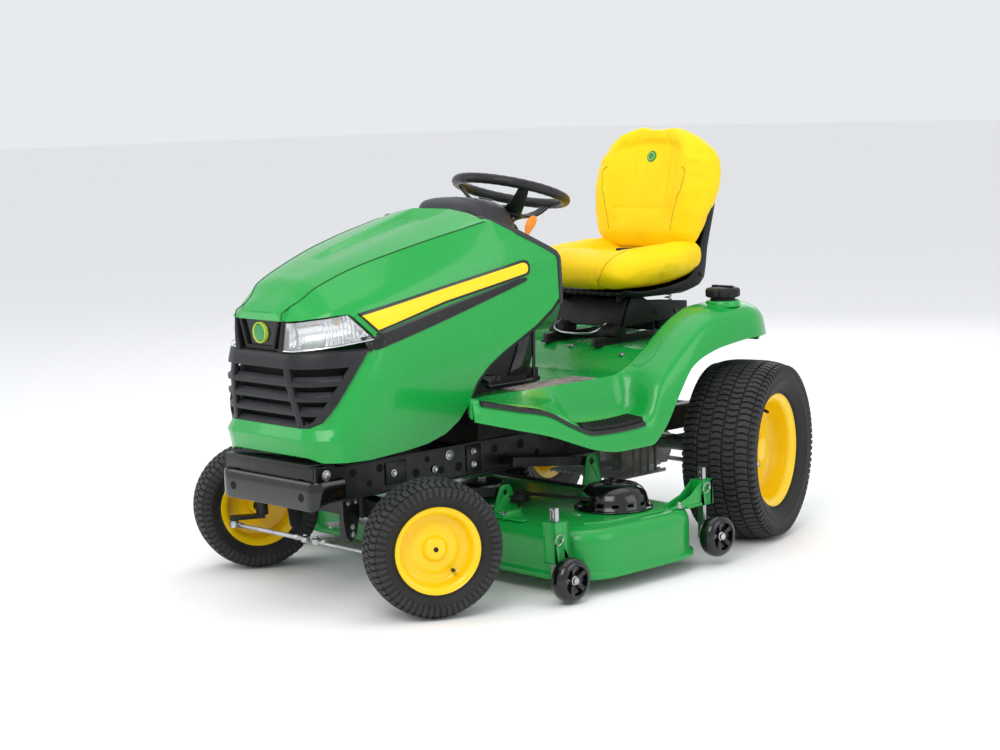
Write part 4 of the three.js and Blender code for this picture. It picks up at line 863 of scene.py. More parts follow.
def build_lamps():
    """Headlights: a reflector that is plain inboard and fluted outboard, behind a clear cover."""
    for name, side in SIDES:
        def grid(depth_at, columns, rows, inset=0.0):
            lines = []
            for i in range(columns):
                u = i / (columns - 1)
                u = inset + u * (1 - 2 * inset)
                low, high, y = lamp_span(u)
                line = []
                for k in range(rows):
                    v = k / (rows - 1)
                    z = low + (high - low) * (0.04 + 0.92 * v if inset else v)
                    start = 0.119 - 0.012 * (1 - (z - 0.75) / 0.08)
                    if u < LAMP_INBOARD:
                        s_end = around(round(z, 3), lamp_span(LAMP_INBOARD)[2])
                        s = start + (s_end - start) * (u / LAMP_INBOARD)
                    else:
                        s = around(round(z, 3), y)
                    p, inward = outline(round(z, 3), side * s)
                    line.append(p + inward * depth_at(u, v))
                lines.append(line)
            return lines

        def shell(depth_at, thickness, columns, rows, inset=0.0):
            outer = grid(depth_at, columns, rows, inset)
            inner = grid(lambda u, v: depth_at(u, v) + thickness, columns, rows, inset)
            n = rows
            verts = [p for line in outer for p in line] + [p for line in inner for p in line]
            faces = []
            base = columns * rows
            for i in range(columns - 1):
                for k in range(n - 1):
                    a = i * n + k
                    faces.append((a, a + n, a + n + 1, a + 1))
                    faces.append((base + a, base + a + 1, base + a + n + 1, base + a + n))
            rim_line = [i * n for i in range(columns)] + [(columns - 1) * n + k for k in range(1, n)]
            rim_line += [i * n + n - 1 for i in range(columns - 2, -1, -1)] + [k for k in range(n - 2, 0, -1)]
            for a, b in zip(rim_line, rim_line[1:] + rim_line[:1]):
                faces.append((a, b, base + b, base + a))
            return verts, faces

        def bowl(u, v):
            hollow = 0.010 + 0.020 * (1 - (2 * v - 1) ** 2)
            flute = 0.0035 * abs(math.sin(math.pi * (u * 19 + 0.9 * (v - 0.5) ** 2 * 4))) if 0.40 < u < 0.93 else 0
            step = 0.006 if u < 0.40 else 0
            fade = min(1, (1 - u) / 0.10, u / 0.04)
            return 0.004 + (hollow + step) * fade - flute * fade

        piece("lamp_reflector_" + name, shell(bowl, 0.004, 150, 25, 0.006), LAMP_SILVER, "hood", angle=50)
        cover = raw("headlight_cover_" + name, shell(lambda u, v: 0.0005, 0.0025, 60, 9))
        dress(cover, LENS, "hood", replaces=["headlight_" + name])
        trim = [p for p in grid(lambda u, v: 0.0015, 60, 9)]
        edge = [line[0] for line in trim]
        piece("lamp_seal_low_" + name, tube([edge[i] for i in range(0, 60)], 0.0022, 8), LAMP_SILVER, "hood")
        tail = [trim[-1][0]] + [line[-1] for line in reversed(trim[42:])]
        piece("lamp_seal_tail_" + name, tube(tail, 0.0024, 8), BLACK_PLASTIC, "hood")
        bulb_at, inward = outline(0.826, side * around(0.826, -0.800))
        bulb = turned(
            [(0, -0.006), (0.006, -0.004), (0.009, 0.004), (0.009, 0.012), (0, 0.014)], 20, bulb_at + inward * 0.012,
            inward
        )
        piece("lamp_bulb_" + name, bulb, AMBER, "hood")


# ---------------------------------------------------------------- dash and steering
COLUMN_TILT = math.radians(16.5)
WHEEL_CENTRE = Vector((0, 0.103, 1.149))
WHEEL_PLACE = Matrix.Translation(WHEEL_CENTRE) @ Matrix.Rotation(-COLUMN_TILT, 4, "X")
WHEEL_RADIUS = 0.174
SPOKE_LINE = [
    (0.170, -0.004), (0.155, -0.020), (0.132, -0.039), (0.105, -0.055), (0.075, -0.065), (0.045, -0.070),
    (0.02, -0.072)
]
SPOKE_CLEARANCE = 0.012  # half a spoke's thickness and the air below it
HUB_REACH = 0.056
HUB_CLEAR_HEIGHT = -0.097


def clear_of_wheel(point):
    """A point of the cowl, lowered where the turning spokes or the hub would reach it."""
    local = WHEEL_PLACE.inverted() @ Vector(point)
    reach = math.hypot(local.x, local.y)
    radii, heights = zip(*reversed(SPOKE_LINE))
    limit = float(np.interp(reach, radii, heights)) - SPOKE_CLEARANCE
    if reach < HUB_REACH:
        limit = HUB_CLEAR_HEIGHT
    if reach < SPOKE_LINE[0][0]:
        local.z = min(local.z, limit)
    return tuple(WHEEL_PLACE @ local)


def build_dash():
    """The charcoal rim behind the hood's rear edge, the cowl around the steering column and its controls."""
    path = [
        (-0.2345, 1.0855), (-0.230, 1.0875), (-0.12, 1.0300), (-0.02, 0.9775), (0.0, 0.9655), (0.0085, 0.953),
        (0.0085, 0.90), (0.0075, 0.86), (0.006, 0.816)
    ]
    path = [tuple(p) for p in round_corners(path, [0, 0.003, 0.02, 0.01, 0.01, 0.01, 0.02, 0.02, 0], 4)]
    rings = []
    for i, (y, z) in enumerate(path):
        a, b = Vector(path[max(0, i - 1)]), Vector(path[min(len(path) - 1, i + 1)])
        along = (b - a).normalized()
        out = Vector((-along[1], along[0]))
        out = out if out[0] > 0 or out[1] > 0.5 else -out
        half = hood_x(min(y, 0.003), z) + 0.0035
        ring = []
        taper = min(1, max(0.3, (y + 0.25) / 0.05))
        for x, o in (
            (half - 0.010, -0.006), (half, -0.003 * taper), (half, 0.006 * taper), (half - 0.004, 0.012 * taper),
            (half - 0.014, 0.0145 * taper), (half - 0.035, 0.013 * taper), (half - 0.050, 0.009 * taper)
        ):
            ring.append((x, y + out[0] * o, z + out[1] * o))
        rings.append(ring + [(-x, yy, zz) for x, yy, zz in ring[::-1]])
    piece("dash_rim", loft(rings), CHARCOAL, "chassis", replaces=["dash_panel"], angle=40)

    def hump(rows):
        out = []
        for y, base, top, half in rows:
            section = [
                (-half, base), (-half * 0.985, base + (top - base) * 0.45), (-half * 0.80, top - 0.010),
                (-half * 0.45, top - 0.001), (0, top)
            ]
            section = round_corners(section, [0, 0.02, 0.03, 0.02, 0], 5)
            left = [(-p[0], p[1]) for p in section[:-1]][::-1]
            out.append([(x, y, z) for x, z in [tuple(p) for p in section] + left])
        return loft(out)

    front = hump(
        [
            (-0.2335, 1.085, 1.1165, 0.040), (-0.229, 1.085, 1.124, 0.066), (-0.215, 1.082, 1.134, 0.092),
            (-0.195, 1.08, 1.1405, 0.112), (-0.170, 1.075, 1.1425, 0.124), (-0.1335, 1.06, 1.1425, 0.134)
        ]
    )
    piece("cowl_front", front, CHARCOAL, "hood", 0.002, angle=40)
    rear_rows = [
        (-0.1305, 1.030, 1.1420, 0.135), (-0.10, 1.015, 1.1395, 0.136), (-0.06, 0.99, 1.1325, 0.130),
        (-0.02, 0.97, 1.121, 0.118), (0.015, 0.955, 1.098, 0.104), (0.042, 0.945, 1.062, 0.090),
        (0.056, 0.94, 1.020, 0.078), (0.060, 0.935, 0.985, 0.070)
    ]
    ys = [row[0] for row in rear_rows]
    fine = [
        (y, *(float(np.interp(y, ys, [row[k] for row in rear_rows])) for k in (1, 2, 3)))
        for y in np.linspace(ys[0], ys[-1], 40)
    ]
    verts, faces = hump(fine)
    rear = [clear_of_wheel(p) for p in verts], faces
    piece("cowl_rear", rear, CHARCOAL, "chassis", 0.0015, angle=40)
    slots = Shape()
    for side in (1, -1):
        slots.add(tube([(side * 0.052, -0.085, 1.1378), (side * 0.060, -0.040, 1.1275)], 0.0028, 10))
    piece("cowl_seams", slots, GLOSS_BLACK, "chassis")
    axis = Vector((0, math.sin(COLUMN_TILT), math.cos(COLUMN_TILT)))
    boot = turned(
        [
            (0.0, -0.016), (0.052, -0.016), (0.050, 0.0), (0.041, 0.010), (0.044, 0.014), (0.036, 0.022),
            (0.030, 0.026), (0, 0.026)
        ],
        40, WHEEL_CENTRE - axis * 0.128, axis
    )
    piece("column_boot", boot, BLACK_PLASTIC, "chassis")
    gauges = Shape()
    for x, r in ((-0.062, 0.016), (0.062, 0.016)):
        gauges.add(
            turned(
                [(0, -0.006), (r, -0.006), (r, 0.004), (r - 0.004, 0.007), (r - 0.006, 0.0045), (0, 0.0045)], 28,
                (x, 0.0375, 1.0645), (0, 0.85, 0.53)
            )
        )
    piece("gauges", gauges, GLOSS_BLACK, "chassis")
    switch = turned(
        [(0, 0), (0.016, 0), (0.016, 0.005), (0.011, 0.009), (0.011, 0.014), (0.009, 0.016), (0, 0.016)], 28,
        (-0.165, -0.040, 0.998), (0, 0.48, 0.87)
    )
    piece("key_switch", switch, STEEL, "chassis")
    key = Shape().add(slab(-0.168, -0.162, -0.046, -0.018, 1.005, 1.034))
    piece("ignition_key", key, BLACK_PLASTIC, "chassis", 0.002)
    knob = turned(
        [(0, 0), (0.007, 0), (0.007, 0.016), (0.018, 0.020), (0.020, 0.026), (0.016, 0.033), (0, 0.034)], 28,
        (-0.215, -0.055, 0.998), (0, 0.48, 0.87)
    )
    piece("blade_switch", knob, STRIPE, "chassis")
    lever = []
    for t, half, thick in (
        (0.0, 0.0060, 0.0035), (0.2, 0.0060, 0.0035), (0.35, 0.011, 0.004), (0.5, 0.0185, 0.0050),
        (0.68, 0.0235, 0.0050), (0.85, 0.0215, 0.0045), (0.95, 0.014, 0.003), (1.0, 0.005, 0.0015)
    ):
        y, z = -0.006 + 0.038 * t, 1.002 + 0.076 * t
        lever.append(
            [
                (0.170 + thick * math.cos(a), y + half * math.sin(a), z)
                for a in (2 * math.pi * k / 16 for k in range(16))
            ]
        )
    hub = rod((0.163, -0.006, 1.006), (0.177, -0.006, 1.006), 0.009)
    piece("throttle_paddle", Shape().add(loft(lever)).add(hub), ORANGE, "throttle", replaces=["throttle_lever"])
    slot_plate = slab(0.155, 0.185, -0.036, 0.026, 0.985, 1.0035)
    shear = Matrix.Identity(4)
    shear[2][1] = -0.545
    shear[2][3] = -0.545 * 0.006
    piece("throttle_gate", Shape().add(slot_plate, shear), GLOSS_BLACK, "chassis", 0.0015)


def build_steering_wheel():
    path, radii = [], []
    for i in range(144):
        a = 2 * math.pi * i / 144
        path.append((WHEEL_RADIUS * math.cos(a), WHEEL_RADIUS * math.sin(a), 0))
        radii.append(0.0165 - 0.0007 * (0.5 + 0.5 * math.sin(36 * a)))
    rim = tube(path, radii, 20, True)
    piece("steering_rim", Shape().add(rim, WHEEL_PLACE), WHEEL_GRIP, "steering", replaces=["steering_wheel"])
    spokes = Shape()
    for degrees in (90, 210, 330):
        turn = WHEEL_PLACE @ Matrix.Rotation(math.radians(degrees), 4, "Z")
        line = SPOKE_LINE
        widths = [0.016, 0.018, 0.021, 0.025, 0.030, 0.034, 0.034]
        rings = []
        for (r, z), w in zip(line, widths):
            rings.append(
                [
                    (r, -w, z - 0.005), (r, -w, z + 0.001), (r, -w + 0.006, z + 0.006), (r, -w + 0.011, z + 0.0015),
                    (r, 0, z + 0.0005), (r, w - 0.011, z + 0.0015), (r, w - 0.006, z + 0.006), (r, w, z + 0.001),
                    (r, w, z - 0.005), (r, 0, z - 0.008)
                ]
            )
        spokes.add(loft(rings), turn)
    piece("steering_spokes", spokes, WHEEL_GRIP, "steering", 0.0012, angle=45)
    hub = turned(
        [
            (0, -0.093), (0.030, -0.093), (0.036, -0.088), (0.052, -0.080), (0.054, -0.072), (0.048, -0.066),
            (0.044, -0.060), (0.036, -0.056), (0, -0.054)
        ],
        48
    )
    piece("steering_hub", Shape().add(hub, WHEEL_PLACE), WHEEL_GRIP, "steering")
    cap = turned([(0, -0.056), (0.031, -0.056), (0.031, -0.053), (0.027, -0.0505), (0, -0.049)], 40)
    piece("steering_cap", Shape().add(cap, WHEEL_PLACE), GLOSS_BLACK, "steering")


# ---------------------------------------------------------------- fenders, floor and platform
# y, floor height, then (x, z) of the platform's edge, lip, crown, brow and hem.
FENDER = [
    (-0.535, 0.590, 0.330, 0.590, 0.345, 0.596, 0.420, 0.602, 0.484, 0.600, 0.494, 0.534),
    (-0.380, 0.562, 0.330, 0.562, 0.343, 0.577, 0.412, 0.572, 0.486, 0.562, 0.500, 0.492),
    (-0.240, 0.562, 0.330, 0.562, 0.343, 0.577, 0.412, 0.556, 0.486, 0.530, 0.500, 0.454),
    (-0.130, 0.562, 0.330, 0.562, 0.343, 0.577, 0.408, 0.520, 0.486, 0.477, 0.500, 0.415),
    (-0.050, 0.562, 0.330, 0.562, 0.343, 0.577, 0.382, 0.462, 0.486, 0.448, 0.500, 0.388),
    (0.060, 0.562, 0.330, 0.562, 0.343, 0.577, 0.380, 0.456, 0.486, 0.444, 0.500, 0.370),
    (0.190, 0.562, 0.328, 0.564, 0.344, 0.580, 0.386, 0.462, 0.486, 0.450, 0.501, 0.370),
    (0.250, 0.568, 0.325, 0.572, 0.346, 0.604, 0.420, 0.578, 0.486, 0.540, 0.502, 0.412),
    (0.330, 0.612, 0.320, 0.614, 0.350, 0.654, 0.430, 0.648, 0.487, 0.620, 0.503, 0.525),
    (0.385, 0.636, 0.315, 0.638, 0.350, 0.694, 0.432, 0.690, 0.488, 0.664, 0.503, 0.592),
    (0.450, 0.636, 0.315, 0.642, 0.350, 0.734, 0.432, 0.730, 0.488, 0.706, 0.503, 0.622),
    (0.540, 0.636, 0.315, 0.648, 0.348, 0.764, 0.430, 0.762, 0.487, 0.738, 0.502, 0.642),
    (0.700, 0.636, 0.315, 0.650, 0.345, 0.772, 0.422, 0.770, 0.480, 0.746, 0.497, 0.655),
    (0.790, 0.636, 0.312, 0.650, 0.340, 0.756, 0.402, 0.752, 0.450, 0.728, 0.466, 0.654),
    (0.846, 0.636, 0.300, 0.646, 0.322, 0.716, 0.366, 0.710, 0.396, 0.690, 0.410, 0.650),
]
FENDER_Y = [s[0] for s in FENDER]


def fender_half(y):
    v = smooth_between(FENDER_Y, [s[1:] for s in FENDER], y)
    floor, pairs = v[0], [(v[i], v[i + 1]) for i in range(1, 11, 2)]
    edge, lip, crown, brow, hem = pairs
    inner = (edge[0] * 0.55, floor)
    points = [(0, floor), inner, (edge[0] - 0.02, floor + 0.001), edge, lip, crown, brow, hem]
    out = [Vector(points[0]), Vector(points[1])]
    radii = [0, 0, 0.02, 0.016, 0.014, 0.045, 0.032, 0]
    for p in round_corners(points[1:], radii[1:], 6)[1:]:
        out.append(Vector(p))
    return out


def fender_z(y, x):
    half = fender_half(y)
    return float(np.interp(abs(x), [p[0] for p in half], [p[1] for p in half]))


def build_fender():
    steps = list(
        np.linspace(-0.535, 0.19, 30)
    ) + list(np.linspace(0.205, 0.45, 18)) + list(np.linspace(0.475, 0.846, 18))
    rings = []
    for y in steps:
        half = fender_half(float(y))
        rings.append([(-x, y, z) for x, z in half[:0:-1]] + [(x, y, z) for x, z in half])
    deck = raw("fender_deck_detail", loft(rings, closed=False))
    thicken(deck, 0.005)
    boolean(
        deck, raw("tool", prism([(-0.212, -0.6), (0.212, -0.6), (0.212, -0.054), (-0.212, -0.054)], "xy", 0.3, 0.8))
    )
    for side in (1, -1):
        corner_line = [
            (0.200, -0.60), (0.200, -0.33), (0.318, -0.330), (0.346, -0.384), (0.430, -0.500), (0.478, -0.534),
            (0.540, -0.545), (0.540, -0.60)
        ]
        boolean(deck, raw("tool", prism([(side * x, y) for x, y in corner_line], "xy", 0.3, 0.8)))
    add_bevel(deck, 0.0018, 2, 50)
    dress(deck, GREEN, "chassis", replaces=["fender_deck"], angle=32)
    # The rear panel below the platform, and the turned-down front faces of the footrests.
    tail = [
        (-0.404, 0.655), (-0.390, 0.626), (0.390, 0.626), (0.404, 0.655), (0.350, 0.700), (0.322, 0.712),
        (0.300, 0.645), (0.296, 0.636), (-0.296, 0.636), (-0.300, 0.645), (-0.322, 0.712), (-0.350, 0.700)
    ]
    piece("fender_tail", prism(tail, "xz", 0.838, 0.8465), GREEN, "chassis", 0.0025)
    for name, side in SIDES:
        line = [(0.318, -0.330), (0.346, -0.384), (0.430, -0.500), (0.478, -0.534)]
        line = resample(line, 18)
        rings = []
        for x, y in line:
            top = fender_z(max(-0.534, y + 0.002), x)
            low = 0.545 if x < 0.40 else 0.540
            rings.append(
                [
                    (side * (x - 0.001), y - 0.0015, top - 0.002), (side * (x - 0.001), y - 0.0015, low),
                    (side * (x + 0.002), y + 0.003, low), (side * (x + 0.002), y + 0.003, top - 0.002)
                ]
            )
        piece("footrest_face_" + name, loft(rings), GREEN, "chassis", 0.0012)
        stripe = []
        for y in np.linspace(-0.505, 0.175, 60):
            stripe.append(
                (side * 0.4885, float(y), smooth_between(FENDER_Y, [[s[9]] for s in FENDER], float(y))[0] - 0.010)
            )
        strip_rings = [
            [
                (x + side * o, y, z + h)
                for o, h in ((-0.012, 0.0100), (0.0010, 0.0060), (0.0040, 0.0), (0.0036, -0.006), (-0.006, -0.008))
            ]
            for x, y, z in stripe
        ]
        piece("footrest_seam_" + name, loft(strip_rings), GLOSS_BLACK, "chassis")
        pad_rows = []
        for y in np.linspace(-0.092, 0.175, 12):
            low, high = 0.398, 0.482
            z1 = fender_z(float(y), 0.470)
            z0 = z1 + 0.004
            pad_rows.append(
                [
                    (side * low, y, z0 - 0.004), (side * low, y, z0 + 0.007), (side * (low + 0.006), y, z0 + 0.010),
                    (side * (high - 0.006), y, z1 + 0.009), (side * high, y, z1 + 0.005), (side * high, y, z1 - 0.006)
                ]
            )
        piece("step_pad_" + name, loft(pad_rows), BLACK_PLASTIC, "chassis", 0.0015)
        ribs = Shape()
        for y in np.linspace(-0.072, 0.172, 15):
            z1 = fender_z(float(y), 0.470)
            z0 = z1 + 0.004
            ribs.add(
                loft(
                    [
                        [
                            (side * 0.413, y - 0.004, z0 + 0.008), (side * 0.413, y + 0.004, z0 + 0.008),
                            (side * 0.413, y + 0.003, z0 + 0.0125), (side * 0.413, y - 0.003, z0 + 0.0125)
                        ],
                        [
                            (side * 0.478, y - 0.004, z1 + 0.007), (side * 0.478, y + 0.004, z1 + 0.007),
                            (side * 0.478, y + 0.003, z1 + 0.0115), (side * 0.478, y - 0.003, z1 + 0.0115)
                        ]
                    ]
                )
            )
        piece("step_ribs_" + name, ribs, BLACK_PLASTIC, "chassis")
        mat = Shape().add(slab(0.218, 0.322, -0.175, 0.165, 0.5625, 0.5665)).add(
            slab(0.200, 0.2179, -0.048, 0.165, 0.5625, 0.5665)
        )
        mirrored = Matrix.Scale(side, 4, X)
        piece("floor_mat_" + name, Shape().add((mat.verts, mat.faces), mirrored), MAT, "chassis", 0.0015)
        bars = Shape()
        for k in range(9):
            x = 0.226 + k * 0.0105
            bars.add(slab(x, x + 0.004, -0.165, 0.155, 0.566, 0.5692), mirrored)
        piece("floor_ribs_" + name, bars, MAT, "chassis", 0.0008)
        rail = Shape().add(slab(0.104, 0.126, 0.352, 0.80, 0.634, 0.6634), mirrored)
        rail.add(slab(0.098, 0.132, 0.346, 0.806, 0.634, 0.642), mirrored)
        piece("seat_rail_" + name, rail, BLACK, "chassis", 0.0025)
        crease = []
        for i in range(40):
            a = 2 * math.pi * i / 40
            y, z = 0.315 + 0.052 * math.cos(a) + 0.020 * math.sin(a), 0.0
            x = 0.384 + 0.026 * math.sin(a) * (1 - 0.35 * math.cos(a))
            crease.append((side * x, y, fender_z(y, x) - 0.0008))
        piece("fender_relief_" + name, tube(crease, 0.0028, 8, True), GREEN, "chassis")
    bolts = Shape()
    for x, y in ((0.245, 0.34), (-0.245, 0.34), (0.26, 0.76), (-0.26, 0.76), (0.0, 0.36), (0.0, 0.76)):
        bolts.add(
            turned(
                [(0, 0), (0.013, 0), (0.013, 0.002), (0.009, 0.0025), (0.0085, 0.007), (0, 0.008)], 18,
                (x, y, fender_z(y, x) - 0.0005)
            )
        )
    for x in (-0.28, -0.1, 0.1, 0.28):
        bolts.add(
            turned(
                [(0, 0), (0.010, 0), (0.010, 0.003), (0.007, 0.006), (0, 0.0065)], 18,
                (x, 0.845, 0.680 if abs(x) > 0.3 else 0.632), (0, 1, 0)
            )
        )
    piece("fender_bolts", bolts, STEEL, "chassis")
    x, y = 0.412, 0.640
    piece(
        "filler_collar",
        turned(
            [
                (0.034, 0.757), (0.056, 0.757), (0.056, 0.770), (0.052, 0.776), (0.047, 0.773), (0.044, 0.766),
                (0.034, 0.766)
            ],
            48, (x, y, 0), closed=True
        ),
        GREEN, "chassis"
    )
    piece(
        "filler_neck",
        turned([(0.032, 0.70), (0.040, 0.70), (0.040, 0.7835), (0.032, 0.7835)], 40, (x, y, 0), closed=True),
        BLACK_PLASTIC, "chassis"
    )
    cap = []
    for k in range(96):
        a = 2 * math.pi * k / 96
        lobe = 0.0018 * max(-1, min(1, 4 * math.sin(12 * a)))
        cap.append((a, lobe))
    levels = [
        (0.0285, 0.7745, 0), (0.0285, 0.7865, 0), (0.050, 0.7865, 1), (0.0535, 0.790, 1), (0.0540, 0.808, 1),
        (0.050, 0.814, 1), (0.043, 0.8165, 0.3), (0.020, 0.8185, 0), (0.0, 0.819, 0)
    ]
    rings = [
        [(x + (r + l * k) * math.cos(a), y + (r + l * k) * math.sin(a), z) for a, l in cap]
        for r, z, k in levels[:-1]
    ]
    grip = Shape().add(loft(rings)).add(slab(x - 0.040, x + 0.040, y - 0.007, y + 0.007, 0.812, 0.8235))
    piece("filler_cap_grip", grip, BLACK_PLASTIC, "filler_cap", replaces=["fuel_cap"], angle=40)
    x, y = 0.150, 0.020
    knob = Shape().add(
        turned(
            [(0, 0.540), (0.011, 0.540), (0.011, 0.566), (0.030, 0.566), (0.030, 0.576), (0.026, 0.580), (0, 0.580)],
            40, (x, y, 0)
        )
    )
    lobes = [(0.0205 + 0.0045 * math.cos(6 * 2 * math.pi * k / 72), 2 * math.pi * k / 72) for k in range(72)]
    knob.add(
        loft(
            [
                [(x + r * s * math.cos(a), y + r * s * math.sin(a), z) for r, a in lobes]
                for s, z in ((1, 0.579), (1, 0.600), (0.92, 0.605), (0.6, 0.6065))
            ]
        )
    )
    piece("height_dial_grip", knob, BLACK_PLASTIC, "height_dial", replaces=["height_knob"])


# ---------------------------------------------------------------- seat
def smooth_step(t):
    t = min(1, max(0, t))
    return t * t * (3 - 2 * t)


def cushion_solid(place, length, half_at, low_at, high_at, columns=44, rows=34, power=3.2):
    """A stuffed form: at t from 0 to 1 along it, sections between low and high with round sides and ends."""
    rings = []
    for i in range(columns):
        t = 0.5 - 0.5 * math.cos(math.pi * (0.012 + 0.976 * i / (columns - 1)))
        close = (1 - abs(2 * t - 1) ** (power * 2.2)) ** (1 / (power * 0.8))
        half = half_at(t) * (0.72 + 0.28 * close)
        ring = []
        for k in range(rows):
            a = 2 * math.pi * k / rows
            c, s = math.cos(a), math.sin(a)
            u = math.copysign(abs(c) ** 0.62, c)
            v = math.copysign(abs(s) ** 0.72, s)
            low, high = low_at(t, u), high_at(t, u)
            middle = (low + high) / 2
            ring.append(place(u * half, t * length, middle + v * (high - low) / 2 * close))
        rings.append(ring)
    return loft(rings)


def cushion_place(x, along, height):
    return (x, 0.334 + along, height)


def back_place(x, along, height):
    lean_angle = math.radians(8.5)
    return (
        x, 0.786 + along * math.sin(lean_angle) - height * math.cos(lean_angle),
        0.918 + along * math.cos(lean_angle) + height * math.sin(lean_angle)
    )


def stuffed(obj, cap, pin_line, voxel=0.006):
    """obj filled out: remeshed, then inflated for a moment against its seams, by no more than cap metres."""
    remesh = obj.modifiers.new("remesh", "REMESH")
    remesh.mode = "VOXEL"
    remesh.voxel_size = voxel
    bake(obj)
    before = [v.co.copy() for v in obj.data.vertices]
    group = obj.vertex_groups.new(name="seams")
    seams = []
    for v in obj.data.vertices:
        distance = pin_line(v.co - OFFSET)
        if distance < 0.0055:
            seams.append(v.index)
    if seams:
        group.add(seams, 1.0, "REPLACE")
    cloth = obj.modifiers.new("cloth", "CLOTH")
    settings = cloth.settings
    settings.quality = 5
    settings.mass = 0.3
    settings.tension_stiffness = settings.compression_stiffness = 28
    settings.shear_stiffness = 12
    settings.bending_stiffness = 3
    settings.use_pressure = True
    settings.uniform_pressure_force = 4
    settings.effector_weights.gravity = 0
    settings.vertex_group_mass = "seams"
    cloth.collision_settings.use_collision = False
    cloth.point_cache.frame_end = 20
    scene = bpy.context.scene
    for number in range(1, 21):
        scene.frame_set(number)
    bake(obj)
    scene.frame_set(1)
    for v, start in zip(obj.data.vertices, before):
        move = v.co - start
        if move.length > cap:
            v.co = start + move.normalized() * cap
    # Stitching pulls the cover in along the seams.
    obj.data.update()
    normals = [v.normal.copy() for v in obj.data.vertices]
    for v, n in zip(obj.data.vertices, normals):
        distance = pin_line(v.co - OFFSET)
        v.co -= n * 0.0035 * math.exp(-((distance / 0.0065) ** 2))
    smooth = obj.modifiers.new("smooth", "SMOOTH")
    smooth.factor = 0.5
    smooth.iterations = 2
    bake(obj)
    obj.vertex_groups.clear()
    return subdivide(obj, 1)


